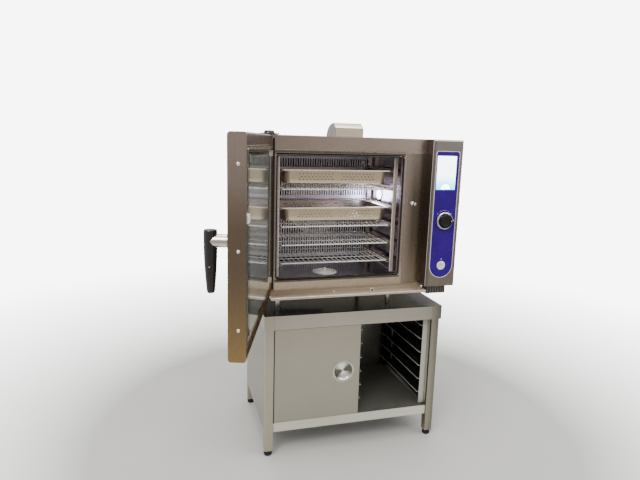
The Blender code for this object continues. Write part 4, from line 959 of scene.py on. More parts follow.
def back_details():
    """Louvres, screws, a plate, water inlets, cable gland and drain on the oven's back."""
    low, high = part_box("oven_back_panel")
    back, slot = high.y, "oven_back_panel"
    deep, tall, wide = 0.006, 0.009, 0.34
    slats = []
    for column in (0.06, 0.50):
        for row in range(9):
            z = high.z - 0.32 + 0.022 * row
            section = [
                (back, z), (back + deep, z), (back + deep, z + 0.0012),
                (back + deep * 0.75, z + tall * 0.55), (back + deep * 0.25, z + tall * 0.9), (back, z + tall),
            ]
            slats.append(prism("X", low.x + column, low.x + column + wide, section, edge=0.0005))
    piece("back_louvres", merge(*slats), look_casing, slot)
    inset, across, up = 0.012, 6, 5
    places = []
    for number in range(across + 1):
        x = low.x + inset + (high.x - low.x - 2 * inset) * number / across
        places += [(x, back, z) for z in (low.z + 0.010, high.z - 0.010)]
    for number in range(1, up):
        z = low.z + (high.z - low.z) * number / up
        places += [(x, back, z) for x in (low.x + inset, high.x - inset)]
    piece("back_screws", domes(places, "Y", 0.0042), look_chrome, slot)
    plate = block((0.56, back, 1.02), (0.70, back + 0.0008, 1.10), 0.0003, 1)
    piece("blank_plate", plate, look_bright, slot)
    valve_z = low.z + 0.085
    threads = [(0, 24), (7.5, 24), (10.5, 22)]
    for thread in range(7):
        threads += [(13.2, 21 - thread * 2), (11.8, 20 - thread * 2)]
    threads += [(11.8, 6), (16.5, 6), (16.5, 0)]
    for number, x in enumerate((0.78, 0.84)):
        piece(f"water_inlet_{number + 1}", spun(threads, (x, back, valve_z), "Y", 32), look_brass, slot)
    gland = [(10, 24), (12.5, 20), (13.5, 12), (18.5, 11), (18.5, 3), (21.5, 2), (21.5, 0)]
    piece("cable_gland", spun(gland, (0.70, back, valve_z), "Y", 36), look_black_matt, slot)
    drop = [(0, 0, 0), (0, 12, -1), (-1, 18.5, -6), (-2, 20, -16), (-3, 19, -40), (-4, 15, -70)]
    start = Vector((0.70, back + 0.010, valve_z))
    cable = tube([start + Vector(step) * MM for step in drop], 0.0075, roundness=4)
    piece("mains_cable", cable, look_rubber, slot)
    drain = [(17, 22), (19.5, 20.5), (19.5, 3), (26, 2), (26, 0)]
    piece("drain_outlet", spun(drain, (0.295, back, low.z + 0.050), "Y", 40), look_black_matt, slot)


def side_details():
    """Screws and vent slots on the casing's sides, and a seam on its top."""
    low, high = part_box("oven_casing")
    screws = []
    for x, towards in ((low.x, "-X"), (high.x, "X")):
        screws.append(domes([(x, y, low.z + 0.014) for y in (0.06, 0.28, 0.50, 0.70)], towards, 0.0042))
    piece("casing_screws", merge(*screws), look_chrome, "oven_casing")
    vents = []
    for row in range(10):
        z = low.z + 0.075 + 0.020 * row
        section = [(0, 0), (5, 0), (5, 1), (3, 6), (0, 8.5)]
        section = [(high.x + out * MM, z + up * MM) for out, up in section]
        vents.append(prism("Y", 0.42, 0.66, section, edge=0.0004))
    piece("casing_louvres", merge(*vents), look_casing, "oven_casing")
    seam = block((low.x + 0.002, 0.0445, high.z), (high.x - 0.002, 0.0455, high.z + 0.0004))
    piece("casing_top_seam", seam, look_black_matt, "oven_casing")


def underside_details():
    """The air intake box and fittings under the control housing and the gutter."""
    housing_low, housing_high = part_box("control_housing")
    left, right = housing_low.x + 0.012, housing_high.x - 0.038
    high = housing_low.z - 0.0005
    low = high - 0.036
    front = housing_low.y + 0.012
    box = block((left, front, low), (right, front + 0.045, high), 0.0015)
    piece("intake_box", box, look_black_matt, "control_housing")
    bars = []
    for number in range(7):
        x = left + 0.010 + (right - left - 0.020) * number / 6
        start, end = (x - 0.0022, front - 0.0012, low + 0.003), (x + 0.0022, front, high - 0.003)
        bars.append(block(start, end, 0.0004, 1))
    bars.append(block((left, front - 0.0015, low), (right, front, low + 0.0022), 0.0004, 1))
    piece("intake_bars", merge(*bars), look_coil, "control_housing")
    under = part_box("oven_chassis")[0].z
    run = [(75, 250, -0.5), (75, 250, -20), (80, 245, -29), (92, 235, -34), (180, 200, -40), (300, 180, -40)]
    hose = tube([Vector((0, 0, under)) + Vector(step) * MM for step in run], 0.0085, roundness=4)
    piece("drain_hose", hose, look_rubber, "oven_chassis")
    ends = ((0.034, under - 0.0005), (0.048, under - 0.0175))
    brackets = [block((0.010, 0.030, under - 0.020), (0.030, y, z), 0.0006, 1) for y, z in ends]
    piece("gutter_bracket", merge(*brackets), look_bright, "oven_chassis")


def hinge_details():
    """Rounded hinge plates, the cap over the upper one and their screws."""
    slot = "door_hinge_upper"
    low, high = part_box(slot)
    plate_low, plate_high = 1.4873, 1.493
    axis, pin_radius, proud = (HINGE.x, HINGE.y), 0.0058, 0.0015
    plate = block((low.x, low.y, plate_low), (high.x, high.y, plate_high), 0.0012)
    pin = rod("Z", axis, pin_radius, low.z, plate_high + proud, 32)
    cover("hinge_plate_upper", merge(plate, pin), look_black_matt, slot)
    tall = (high.z - plate_high) / MM
    profile = [(17, tall), (19.5, tall - 1.5), (22.5, tall - 6), (24.5, 1), (24.5, 0)]
    piece("hinge_cap", spun(profile, (0.0, 0.045, plate_high)), look_black, slot)
    screws = domes([(x, 0.090, plate_high) for x in (-0.022, 0.016)], "Z", 0.0045)
    piece("hinge_screws", screws, look_chrome, slot)
    slot = "door_hinge_lower"
    low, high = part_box(slot)
    plate = block(low, (high.x, high.y, 0.7865), 0.0012)
    pin = rod("Z", axis, pin_radius, low.z - proud, high.z, 32)
    cover("hinge_plate_lower", merge(plate, pin), look_bright, slot)


# ---- inside the oven ----------------------------------------------------------------------
def oven_inside():
    dress(look_cavity, "cavity_liner")
    dress(look_rack, "rack_left", "rack_right")
    dress(look_motor, "fan_motor")
    dress(look_bright, "fan_wheel", "steam_generator")
    dress(look_coil, "heating_coil")
    fan_guard()
    strainer()
    lamp()
    for side in SIDES:
        rack_details(side)
    for name in sorted(frame["nodes"]):
        if name.startswith("wire_shelf"):
            wire_shelf(name)
        if name.startswith("gastronorm_pan"):
            pan(name)


def slotted(low, high, columns, slot_width, slot_rows, y):
    """An upright sheet with rows of slots, built as a grid with the slots left out."""
    pitch = (high.x - low.x) / columns
    centres = [low.x + pitch * (column + 0.5) for column in range(columns)]
    xs = [low.x, *(x + way * slot_width / 2 for x in centres for way in (-1, 1)), high.x]
    zs = [low.z, *(z for row in slot_rows for z in row), high.z]
    work = bmesh.new()
    grid = [[work.verts.new((x, y, z)) for z in zs] for x in xs]
    for i in range(len(xs) - 1):
        for j in range(len(zs) - 1):
            if i % 2 == 0 or j % 2 == 0:
                work.faces.new((grid[i][j], grid[i + 1][j], grid[i + 1][j + 1], grid[i][j + 1]))
    return from_bmesh(work)


def fan_guard():
    """The fan's cover: upright slots in bands, folded sides and thumb screws."""
    low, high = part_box("fan_guard")
    sheet, margin, rib, bands = 0.0014, 0.010, 0.008, 5
    band = (high.z - low.z - 2 * margin) / bands
    starts = [low.z + margin + band * number for number in range(bands)]
    slot_rows = [(start + rib, start + band - rib) for start in starts]
    front = thickened(slotted(low, high, 45, 0.0064, slot_rows, low.y + sheet / 2), sheet)
    cover("guard_front", front, look_guard, "fan_guard")
    folds = [
        block((x, low.y + sheet, low.z), (x + sheet, high.y, high.z), 0.0004, 1)
        for x in (low.x, high.x - sheet)
    ]
    piece("guard_folds", merge(*folds), look_guard, "fan_guard")
    profile = [(6, 10), (8, 8), (8, 3), (11, 2), (11, 0)]
    bolts = [
        spun(profile, (x, low.y, z), "-Y", 24)
        for x in (low.x + 0.010, high.x - 0.045)
        for z in (low.z + 0.008, high.z - 0.030)
    ]
    piece("guard_bolts", merge(*bolts), look_bright, "fan_guard")


def strainer():
    """The drain strainer: a domed, drilled disc with a lifting knob, in its well."""
    name = "drain_strainer"
    centre = middle_of(name)
    radius = half_width(name) / MM
    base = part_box(name)[0].z + 0.012
    place = (centre.x, centre.y, base)
    profile = [
        (0, 8.5), (10, 8.3), (22, 7), (33, 4.6), (radius - 3, 1.8), (radius, 0.8), (radius, 0),
        (radius - 4, 0.2), (33, 3.2), (22, 5.6), (10, 7), (0, 7.2),
    ]
    disc = spun(profile, place, "Z", 64)
    holes = []
    for ring, count in ((0.016, 8), (0.025, 14), (0.034, 20)):
        for x, y in arc((centre.x, centre.y), ring, 0, 360, count)[:-1]:
            holes.append(rod("Z", (x, y), 0.0026, base - 0.004, base + 0.016, 10))
    cover("strainer_disc", cut(disc, merge(*holes)), look_wire, name, name)
    skirt = [(33.5, 0), (35.5, 0), (35.5, -12), (33.5, -12)]
    piece("strainer_skirt", spun(skirt, place, ring=True), look_bright, name, name)
    knob_profile = [(0, 20), (5, 19.5), (7.5, 17), (7.8, 14.5), (4.5, 12), (4, 8.5)]
    piece("strainer_knob", spun(knob_profile, place, "Z", 32), look_wire, name, name)
    well = [(48, 0), (50, 2.2), (56, 2.4), (58, 1), (58, 0)]
    well = spun(well, (centre.x, centre.y, 0.8452), "Z", 64, ring=True)
    piece("drain_well_ring", well, look_wire, "cavity_liner")


def lamp():
    """The lamp: a steel bezel and a lit ribbed glass."""
    low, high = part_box("cavity_lamp")
    centre = middle_of("cavity_lamp")
    radius = (high.y - low.y) / 2 / MM
    place = (low.x + 0.0043, centre.y, centre.z)
    bezel = [(27, 5), (30, 5.2), (radius - 1, 3.6), (radius, 2), (radius, 0), (26, 0)]
    cover("lamp_bezel", spun(bezel, place, "-X", 64, ring=True), look_chrome, "cavity_lamp")
    glass = [(0, 6.2), (6, 6), (12, 5.2), (18, 5.6), (22, 4.4), (26.8, 3), (26.8, -12)]
    piece("lamp_glass", spun(glass, place, "-X", 64), look_lamp, "cavity_lamp")


def rack_details(side):
    """Bright front edges and hook-on feet of a hanging rack."""
    slot = f"rack_{side}"
    low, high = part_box(slot)
    ledge, post, edge_radius, drop = 0.018, 0.019, 0.0021, 0.0016
    is_left = side == "left"
    inner = high.x - ledge if is_left else low.x + ledge
    left, right = (inner - post, inner) if is_left else (inner, inner + post)
    face = low.y - 0.0012
    strip = block((left, face, low.z), (right, low.y, high.z), 0.0005, 1)
    piece(f"rack_strip_{side}", strip, look_strip, slot)
    edge_x = inner + (-0.002 if is_left else 0.002)
    edge = tube([(edge_x, face - 0.0010, z) for z in (low.z + 0.002, high.z - 0.002)], edge_radius)
    piece(f"rack_edge_{side}", edge, look_wire, slot)
    foot_low = (left - 0.002, face - 0.014, low.z - drop)
    foot = block(foot_low, (right + 0.002, low.y + 0.002, low.z + drop), 0.0008)
    piece(f"rack_foot_{side}", foot, look_bright, slot)


def wire_shelf(name):
    """A chrome wire shelf: a round-cornered frame, cross wires and two bars under them."""
    low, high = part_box(name)
    radius, thin, bar = 0.0030, 0.0018, 0.0021
    middle = low.z + radius
    outline = plan_outline(low, high, radius, 0.005, 4)
    shapes = [tube([(x, y, middle) for x, y in outline], radius, closed=True)]
    left, right = low.x + radius, high.x - radius
    front, back = low.y + radius, high.y - radius
    spaces = 22
    for number in range(1, spaces):
        place = (left + (right - left) * number / spaces, middle + radius + thin * 0.3)
        shapes.append(rod("Y", place, thin, front - 0.0042, back + 0.0042, 10))
    for share in (0.32, 0.68):
        place = (front + (back - front) * share, middle + radius - thin * 0.8 - 0.0020)
        shapes.append(rod("X", place, bar, left, right, 12))
    cover(name + "_wires", merge(*shapes), look_wire, name, name)


RIM, CORNER, CORNER_STEPS = 0.0125, 0.035, 7
HOLE, HOLE_PITCH = 0.0032, 0.0173


def pan(name):
    """A drawn pan with a rolled rim and groups of drilled holes."""
    low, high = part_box(name)
    middle_x, middle_y = (low.x + high.x) / 2, (low.y + high.y) / 2
    top, floor_z = high.z - 0.0005, low.z + 0.0008
    shape = pan_shell(low, high, top, floor_z)
    rows = [(top - 0.0190 - 0.0127 * row, row % 2) for row in range(3)]
    half_gap, beyond = 0.0235, 0.01
    through, endways, downward = [], [], []
    for z, staggered in rows:
        for column in range(10 - staggered):
            across = half_gap + HOLE_PITCH * (column + staggered / 2)
            for x in (middle_x - across, middle_x + across):
                through.append(rod("Y", (x, z), HOLE, low.y - beyond, high.y + beyond, 10))
        for column in range(9 - staggered):
            y = middle_y + HOLE_PITCH * (column + staggered / 2 - 4)
            endways.append(rod("X", (y, z), HOLE, low.x - beyond, high.x + beyond, 10))
    for row in range(12):
        for column in range(24):
            place = (middle_x + (column - 11.5) * HOLE_PITCH, middle_y + (row - 5.5) * 0.0200)
            downward.append(rod("Z", place, HOLE, floor_z - 0.005, floor_z + 0.005, 8))
    for holes in (through, endways, downward):
        shape = cut(shape, merge(*holes))
    body = cover(name + "_body", shape, look_pan, name, name)
    # painted shade: the inner faces of the walls below the rim get the darker inside steel
    body.data.materials.append(look_pan_inside)
    for face in body.data.polygons:
        inward = Vector((middle_x - face.center.x, middle_y - face.center.y, 0.0))
        if abs(face.normal.z) < 0.5 and face.normal.dot(inward) > 0 and face.center.z < top - 0.004:
            face.material_index = 1
    outline = plan_outline(low, high, 0.0012, 0.019, CORNER_STEPS)
    edge = tube([(x, y, top - 0.0024) for x, y in outline], 0.0029, closed=True)
    piece(name + "_rim", edge, look_wire, name, name)


def pan_shell(low, high, top, floor_z):
    """The pan's sheet, as rings of points from the rim's lip down to the floor."""
    rings = (
        (0.0006, 0.020, top - 0.0055), (0.0, 0.020, top - 0.0030), (0.0010, 0.020, top - 0.0006),
        (0.0030, 0.020, top), (RIM - 0.0030, CORNER - 0.004, top - 0.0004),
        (RIM, CORNER, top - 0.0030), (RIM + 0.0030, CORNER, top - 0.040),
        (RIM + 0.0050, CORNER, floor_z + 0.012), (RIM + 0.0080, CORNER - 0.002, floor_z + 0.0035),
        (RIM + 0.0130, CORNER - 0.004, floor_z + 0.0006), (RIM + 0.0200, CORNER - 0.006, floor_z),
    )
    work = bmesh.new()
    loops = []
    for inset, radius, height in rings:
        outline = plan_outline(low, high, inset, radius, CORNER_STEPS)
        loops.append([work.verts.new((x, y, height)) for x, y in outline])
    for upper, lower in zip(loops, loops[1:]):
        for index in range(len(upper)):
            after = (index + 1) % len(upper)
            work.faces.new((upper[index], upper[after], lower[after], lower[index]))
    work.faces.new(loops[-1])
    return thickened(from_bmesh(work), 0.0011)


# ---- controls -----------------------------------------------------------------------------
def controls():
    dress(look_housing, "control_housing")
    dress(look_bright, "encoder_shaft")
    fascia()
    screen()
    knob()
    button()
    keeper()
    housing_trim()


def housing_trim():
    """The bright folded edges at the housing's top and side."""
    low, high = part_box("control_housing")
    top_low = (low.x + 0.001, low.y - 0.0008, high.z - 0.0070)
    side_low = (low.x - 0.0005, low.y + 0.001, low.z + 0.004)
    edges = [
        block(top_low, (high.x - 0.001, low.y, high.z - 0.0006), 0.0002, 1),
        block(side_low, (low.x, low.y + 0.004, high.z - 0.004), 0.0002, 1),
    ]
    piece("housing_edges", merge(*edges), look_wire, "control_housing")


def fascia_outline(inset):
    low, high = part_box("control_fascia")
    centre = (low.x + high.x) / 2
    half = (high.x - low.x) / 2 - inset
    corner = 0.012 - inset * 0.5
    outline = arc((centre, low.z + half + inset), half, 180, 360, 48)
    for way, start in ((1, 0), (-1, 90)):
        place = (centre + way * (half - corner), high.z - inset - corner)
        outline += arc(place, corner, start, start + 90, 8)
    return outline


def fascia():
    """The blue overlay with its light border and scale marks."""
    low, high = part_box("control_fascia")
    screen_low, screen_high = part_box("display")
    centre = (low.x + high.x) / 2
    knob_z = middle_of("encoder_shaft").z
    button_z = middle_of("power_button").z
    button_r = half_width("power_button")
    sheet = prism(
        "Y", low.y, high.y, fascia_outline(0.0022), front_outline(screen_low, screen_high, -0.0003),
        arc((centre, knob_z), 0.006, 0, 345, 23), arc((centre, button_z), button_r + 0.0004, 0, 355, 71),
        edge=0.0006,
    )
    cover("fascia_sheet", sheet, look_fascia, "control_fascia")
    border = prism("Y", low.y + 0.0006, high.y, fascia_outline(-0.0008), fascia_outline(0.0021))
    piece("fascia_border", border, look_trim, "control_fascia")
    print_low, print_high = low.y - 0.0002, low.y + 0.0003
    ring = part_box("selector_knob")[1].x - centre + 0.0060
    marks = []
    for number, place in enumerate(arc((centre, knob_z), ring, 138, 42, 12)):
        size = 0.0022 if number % 3 == 0 else 0.0014
        marks.append(rod("Y", place, size * 0.6, print_low, print_high, 10))
    piece("scale_marks", merge(*marks), look_white_print, "control_fascia")
    dot = rod("Y", (centre + ring + 0.001, knob_z + 0.001), 0.0026, print_low, print_high, 16)
    piece("pointer_mark", dot, look_white_print, "control_fascia")
    place = (centre, button_z + button_r + 0.010)
    symbol = arc(place, 0.0030, -60, 240, 20) + arc(place, 0.0022, 240, -60, 20)
    power = prism("Y", print_low, print_high, symbol)
    piece("power_mark", power, look_white_print, "control_fascia")


def look_page():
    """A lit page: pale sky over a teal band."""
    low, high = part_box("display")
    look, tree, shader = new_look("screen_page")
    up = spread(tree, axes(tree)["Z"], 0.0, 1.0, low.z, high.z)
    ramp = node(tree, "ShaderNodeValToRGB", Fac=up)
    stops = (
        (0.0, (0.05, 0.42, 0.62)), (0.16, (0.14, 0.58, 0.78)), (0.30, (0.42, 0.84, 0.92)),
        (0.42, (0.80, 0.95, 1.0)), (1.0, (0.88, 0.96, 1.0)),
    )
    for position, colour in stops[1:-1]:
        ramp.color_ramp.elements.new(position)
    for stop, (position, colour) in zip(ramp.color_ramp.elements, stops):
        stop.color = (*colour, 1.0)
    cells = noise(tree, coordinates(tree, (60.0, 1.0, 220.0)), 1.0, 1.0)
    tone = mixed(tree, spread(tree, cells, 0.0, 0.12, 0.5, 0.6), ramp.outputs["Color"], (0.55, 0.75, 0.85))
    feed(shader, Emission_Color=tone, Emission_Strength=7.0, Base_Color=(0.02, 0.02, 0.02), Roughness=0.1)
    return look


def screen():
    """The display: a lit page with plain tiles and a half disc rising at the bottom."""
    low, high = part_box("display")
    front = low.y + 0.0006
    page = block((low.x, front, low.z), high, 0.0008)
    cover("display_page", page, look_page(), "display")
    disc = prism("Y", front - 0.0003, front, arc(((low.x + high.x) / 2, low.z + 0.003), 0.0235, 0, 180, 32))
    piece("display_half_disc", disc, look_screen_white, "display")
    bars = []
    for row in range(3):
        z = high.z - 0.034 - row * 0.014
        for column in range(3):
            x = low.x + 0.036 + column * 0.018
            bars.append(block((x, front - 0.0002, z), (x + 0.010, front, z + 0.0022)))
    piece("display_tiles", merge(*bars), look_screen_grey, "display")


def knob():
    """The selector: a black dished cap with a grooved rim, in a bright ring."""
    name = "selector_knob"
    low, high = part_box(name)
    centre = middle_of(name)
    radius = half_width(name)
    deep = (high.y - low.y) / MM
    place = (centre.x, high.y, centre.z)
    ring = [
        (0.80, 10.5), (0.86, 11.8), (0.93, 11), (0.985, 8), (1, 5), (1, 0.8), (0.98, 0), (0.78, 0),
    ]
    ring = spun(ring, place, "-Y", 96, across=radius, ring=True)
    cover("knob_ring", ring, look_chrome, name, "knob")
    bore = 0.0045 / radius
    cap = [
        (0, deep - 3), (0.30, deep - 2.6), (0.52, deep - 1.2), (0.64, deep), (0.70, deep - 0.6),
        (0.745, deep - 3), (0.785, 9.5), (0.79, 2), (bore, 2), (bore, 17.5),
    ]
    piece("knob_cap", spun(cap, place, "-Y", 96, across=radius), look_knob, name, "knob")
    ribs = [
        rod("Y", rib, 0.0014, low.y + 0.0045, high.y - 0.0100, 8)
        for rib in arc((centre.x, centre.z), radius * 0.775, 0, 360, 24)[:-1]
    ]
    piece("knob_ribs", merge(*ribs), look_knob, name, "knob")
    place = (centre.x + radius * 0.58, low.y + 0.0004, centre.z)
    dot = spun([(0, 0.5), (1.6, 0.4), (1.8, 0)], place, "-Y", 16)
    piece("knob_dot", dot, look_white_print, name, "knob")


def button():
    """The power button: a dished metal cap with a plain symbol."""
    name = "power_button"
    centre = middle_of(name)
    radius = half_width(name)
    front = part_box(name)[0].y
    profile = [(0.45, -0.6), (0.62, -0.2), (0.74, 0), (0.92, -0.6), (1, -2.2), (1, -11)]
    cap = spun(profile, (centre.x, front, centre.z), "-Y", 64, across=radius)
    cover("power_button_cap", cap, look_button, name, name)
    place = (centre.x, centre.z)
    symbol = arc(place, radius * 0.36, -55, 235, 28) + arc(place, radius * 0.28, 235, -55, 28)
    halo = prism("Y", front + 0.0002, front + 0.0008, symbol)
    piece("power_button_symbol", halo, look_symbol, name, name)


def keeper():
    """The latch's mushroom pin on the oven's face."""
    centre = middle_of("latch_keeper")
    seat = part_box("latch_keeper")[1].y
    profile = [
        (4.5, 33.7), (6, 33), (6.6, 31.8), (6.6, 28.2), (5.8, 27.6), (3.6, 27.2), (3.6, 3.6), (5.5, 3.2),
        (8.4, 2.4), (9.1, 1), (9.1, 0),
    ]
    pin = spun(profile, (centre.x, seat, centre.z), "-Y")
    cover("keeper_pin", pin, look_chrome, "latch_keeper")


# ---- the door -----------------------------------------------------------------------------
def door():
    dress(look_door, "door_casing")
    dress(look_bright, "door_latch")
    middle = (CASE_LOW.y + CASE_HIGH.y) / 2 + 0.004
    screws = domes([(CASE_HIGH.x, middle, z) for z in (1.395, 1.137, 0.891)], "X", 0.0062, 0.0036)
    piece("door_edge_screws", screws, look_chrome, "door_casing", "door")
    outer_pane()
    inner_pane()
    door_recess()
    handle_grip()
    handle_neck()


def outer_pane():
    """The outer glass and its printed border."""
    low, high = closed_box("door_outer_glass")
    cover("outer_pane", block(low, high, 0.0012), look_outer_glass, "door_outer_glass", "door")
    border = prism(
        "Y", low.y - 0.0004, low.y - HAIR, front_outline(low, high, 0.001, 0.003, 3),
        front_outline(low, high, 0.030, 0.010, 5),
    )
    piece("outer_pane_border", border, look_print, "door_outer_glass", "door")


def inner_pane():
    """The hinged inner glass with its printed border, hinge blocks and clips."""
    slot, body = "door_inner_glass", "inner_glass"
    low, high = closed_box(slot)
    pane = prism("Y", low.y, high.y, front_outline(low, high, 0.0, 0.006, 4), edge=0.0008)
    cover("inner_pane", pane, look_inner_glass, slot, body)
    sides, top_print, free_print = 0.011, 0.026, 0.034
    clear = rectangle(
        low.x + sides, high.x - free_print, low.z + sides, high.z - top_print, 0.008, 5
    )
    border = prism("Y", high.y, high.y + 0.00025, front_outline(low, high, 0.0008, 0.006, 4), clear)
    piece("inner_pane_border", border, look_print, slot, body)
    clips = []
    near, far = high.y + 0.0004, high.y + 0.0072
    for z in (low.z + 0.030, high.z - 0.030):
        clips.append(block((low.x + 0.001, near, z - 0.012), (low.x + 0.016, far, z + 0.012), 0.0007))
        clips.append(block((high.x - 0.010, near, z - 0.011), (high.x - 0.0005, far, z + 0.011), 0.0007))
    piece("inner_pane_clips", merge(*clips), look_bright, slot, body)


def door_recess():
    """The recess round the inner glass, dark with painted shade, its light trim, the latch's parts and
    screws.
    """
    pocket = Vector((0.0025, 0.0, 0.0025))
    glass_low, glass_high = closed_box("door_inner_glass")
    glass_low, glass_high = glass_low - pocket, glass_high + pocket
    floor_y, rim = 0.004, 0.0065
    sheet_y = floor_y + 0.0009
    liner = prism(
        "Y", floor_y + HAIR, sheet_y,
        rectangle(
            CASE_LOW.x + rim, CASE_HIGH.x - rim, CASE_LOW.z + rim + 0.003, CASE_HIGH.z - rim - 0.003, 0.004, 3
        ),
        front_outline(glass_low, glass_high, 0.0, 0.006, 4),
    )
    opening = block((0.672, floor_y - 0.01, 1.164), (0.692, floor_y + 0.01, 1.251))
    piece("recess_liner", cut(liner, opening), look_recess, "door_casing", "door")
    left, right = glass_low.x - 0.002, glass_high.x + 0.004
    trim = [
        block((left, sheet_y, z), (right, floor_y + 0.0045, z + 0.0022), 0.0004, 1)
        for z in (glass_high.z + 0.002, glass_low.z - 0.0042)
    ]
    piece("recess_trim", merge(*trim), look_bright, "door_casing", "door")
    plate = prism(
        "Y", sheet_y, floor_y + 0.0028, rectangle(0.6775, 0.6985, 1.205, 1.262, 0.003, 4),
        rectangle(0.6805, 0.6915, 1.210, 1.250, 0.002, 3), edge=0.0004,
    )
    piece("latch_plate", plate, look_chrome, "door_casing", "door")
    catch = block((0.668, floor_y + 0.0010, 1.219), (0.7005, 0.0198, 1.247), 0.0025, 3)
    piece("latch_catch", catch, look_latch, "door_latch", "door")
    heights = (1.275, 1.330, 1.390, 1.100, 1.040, 0.960, 0.900)
    screws = domes([(0.6965, sheet_y, z) for z in heights], "Y", 0.0030, 0.0014)
    piece("recess_screws", screws, look_bright, "door_casing", "door")


def handle_grip():
    """The lever: a tapered black grip with a round top insert and a screw."""
    slot, body = "door_handle_grip", "door_handle"
    low, high = closed_box(slot)
    centre = (low + high) / 2
    full, top = (high.x - low.x) / 2, high.z
    tall = (top - low.z) / MM
    profile = [
        (0, -1.2), (0.70, -1.1), (0.80, -0.2), (0.90, -0.4), (0.97, -2), (1, -5.5), (1, -50), (0.985, -72),
        (0.94, -100), (0.86, -130), (0.74, -162), (0.62, 8 - tall), (0.59, 3 - tall), (0.52, 0.8 - tall),
        (0.44, -tall),
    ]
    grip = spun(profile, (centre.x, centre.y, top), "Z", 64, across=full)
    cover("grip_body", grip, look_black, slot, body)
    insert = [(0, 1), (0.58, 0.9), (0.66, 0.2), (0.67, -0.4)]
    insert = spun(insert, (centre.x, centre.y, top - 0.0012), across=full)
    piece("grip_insert", insert, look_dark_insert, slot, body)
    place = (centre.x + full * 0.90, centre.y, top - 0.113)
    screw = spun([(0, 0.6), (1.6, 0.5), (2.2, 0)], place, "X", 16)
    piece("grip_screw", screw, look_chrome, slot, body)


def handle_neck():
    """The bright round neck, hollowed where the grip passes."""
    grip_low, grip_high = closed_box("door_handle_grip")
    low, high = closed_box("door_handle_neck")
    centre = (grip_low + grip_high) / 2
    start, end = centre.y, CASE_LOW.y - 0.0004
    long = (end - start) / MM
    profile = [
        (0.98, long), (1, long - 0.8), (1, long - 6), (0.97, long - 7), (1, long - 8), (1, 3), (0.9, 0),
    ]
    place = (centre.x, start, (low.z + high.z) / 2)
    neck = spun(profile, place, "Y", 64, across=(high.x - low.x) / 2)
    hollow = rod(
        "Z", (centre.x, centre.y), (grip_high.x - grip_low.x) / 2 * 0.98, grip_low.z - 0.01,
        grip_high.z + 0.01, 64,
    )
    cover("neck_body", cut(neck, hollow), look_neck, "door_handle_neck", "door_handle")


# ---- stage, light and camera --------------------------------------------------------------
FLOOR_GREY = (0.60, 0.60, 0.575)
WALL_WHITE = (0.84, 0.845, 0.835)


def floor():
    """A pale floor that fades into the background away from the object."""
    work = bmesh.new()
    bmesh.ops.create_circle(work, cap_ends=True, segments=96, radius=7.0)
    disc = from_bmesh(work)
    disc.name = "floor"
    disc.location = (0.4, 0.2, -0.0004)
    look, tree, shader = new_look("floor_paint")
    cloud = noise(tree, coordinates(tree), 1.3, 3.0)
    speck = noise(tree, coordinates(tree), 120.0, 2.0)
    tone = mixed(tree, spread(tree, cloud, 0.0, 1.0), shaded(FLOOR_GREY, 0.96), shaded(FLOOR_GREY, 1.04))
    feed(shader, Base_Color=tone, Roughness=spread(tree, speck, 0.42, 0.55))
    clear = node(tree, "ShaderNodeBsdfTransparent")
    share = spread(tree, length_of(tree, coordinates(tree)), 0.0, 1.0, 1.2, 3.8)
    out = tree.nodes["Material Output"]
    feed(out, Surface=blended(tree, share, shader.outputs[0], clear.outputs[0]))
    disc.data.materials.append(look)


def blended(tree, share, first, second):
    """Mixes two shaders."""
    blend = node(tree, "ShaderNodeMixShader")
    for socket, value in zip(blend.inputs, (share, first, second)):
        put(socket, value)
    return blend.outputs[0]


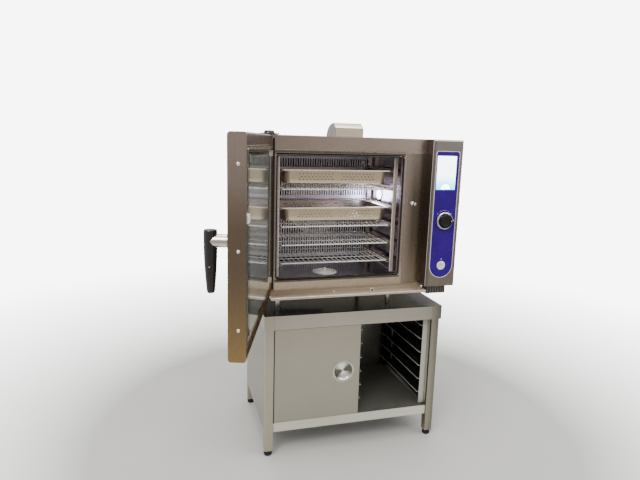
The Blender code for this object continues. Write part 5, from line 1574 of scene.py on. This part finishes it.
def world():
    """A white room: pale to the camera, with a darker, warmer side in front of the object."""
    room = bpy.data.worlds.new("room")
    bpy.context.scene.world = room
    room.use_nodes = True
    tree = room.node_tree
    tree.nodes.clear()
    seen = node(tree, "ShaderNodeBackground", Color=WALL_WHITE, Strength=9.0)
    direction = node(tree, "ShaderNodeTexCoord")
    parts = node(tree, "ShaderNodeSeparateXYZ", Vector=direction.outputs["Generated"]).outputs
    ahead = spread(tree, parts["Y"], 1.0, 0.0, -0.9, 0.3)
    upward = spread(tree, parts["Z"], 0.0, 1.0, -0.2, 0.9)
    side = mixed(tree, ahead, (0.95, 0.96, 0.97), (0.52, 0.45, 0.40))
    colour = mixed(tree, upward, side, (1.0, 0.99, 0.97))
    lit = node(tree, "ShaderNodeBackground", Color=colour, Strength=0.9)
    path = node(tree, "ShaderNodeLightPath").outputs["Is Camera Ray"]
    out = node(tree, "ShaderNodeOutputWorld")
    feed(out, Surface=blended(tree, path, lit.outputs[0], seen.outputs[0]))


def light(name, kind, place, power, colour, **settings):
    """Adds a light; settings are the lamp's own."""
    lit = bpy.data.lights.new(name, kind)
    lit.energy = power
    lit.color = colour
    for key, value in settings.items():
        setattr(lit, key, value)
    stand_in = bpy.data.objects.new(name, lit)
    bpy.context.scene.collection.objects.link(stand_in)
    stand_in.location = place
    return stand_in


def area(name, place, target, size, power, colour=(1.0, 1.0, 1.0)):
    aim = Vector(target) - Vector(place)
    lit = light(name, "AREA", place, power, colour, size=size)
    lit.rotation_euler = aim.to_track_quat("-Z", "Y").to_euler()


def lights():
    """Three soft studio lights, and the lamp's own light inside the cavity."""
    area("key", (-1.8, -2.4, 3.6), (0.4, 0.2, 0.9), 1.8, 120.0, (1.0, 0.98, 0.95))
    area("fill", (2.6, -1.8, 2.6), (0.4, 0.2, 0.8), 2.0, 32.0, (0.97, 0.98, 1.0))
    area("top", (0.4, 0.3, 3.6), (0.4, 0.2, 0.8), 2.0, 70.0)
    centre = middle_of("cavity_lamp")
    place = (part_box("cavity_lamp")[0].x - 0.02, centre.y, centre.z)
    light("cavity_light", "POINT", place, 1.6, (0.78, 0.76, 1.0), shadow_soft_size=0.05)


def camera():
    """An eye-level view from the left front, tilted down and turned a little."""
    eye = Vector((-0.4302, -2.2545, 1.4673))
    right = Vector((0.96098, -0.27524, 0.02779))
    up = Vector((0.02451, 0.18477, 0.98249))
    view = bpy.data.cameras.new("camera")
    view.lens = 29.83
    view.sensor_width = 36.0
    view.clip_start = 0.05
    seat = bpy.data.objects.new("camera", view)
    bpy.context.scene.collection.objects.link(seat)
    turn = Matrix((right, up, right.cross(up))).transposed()
    seat.matrix_world = Matrix.Translation(eye) @ turn.to_4x4()
    bpy.context.scene.camera = seat


stand()
oven_outside()
oven_inside()
controls()
door()
floor()
world()
lights()
camera()
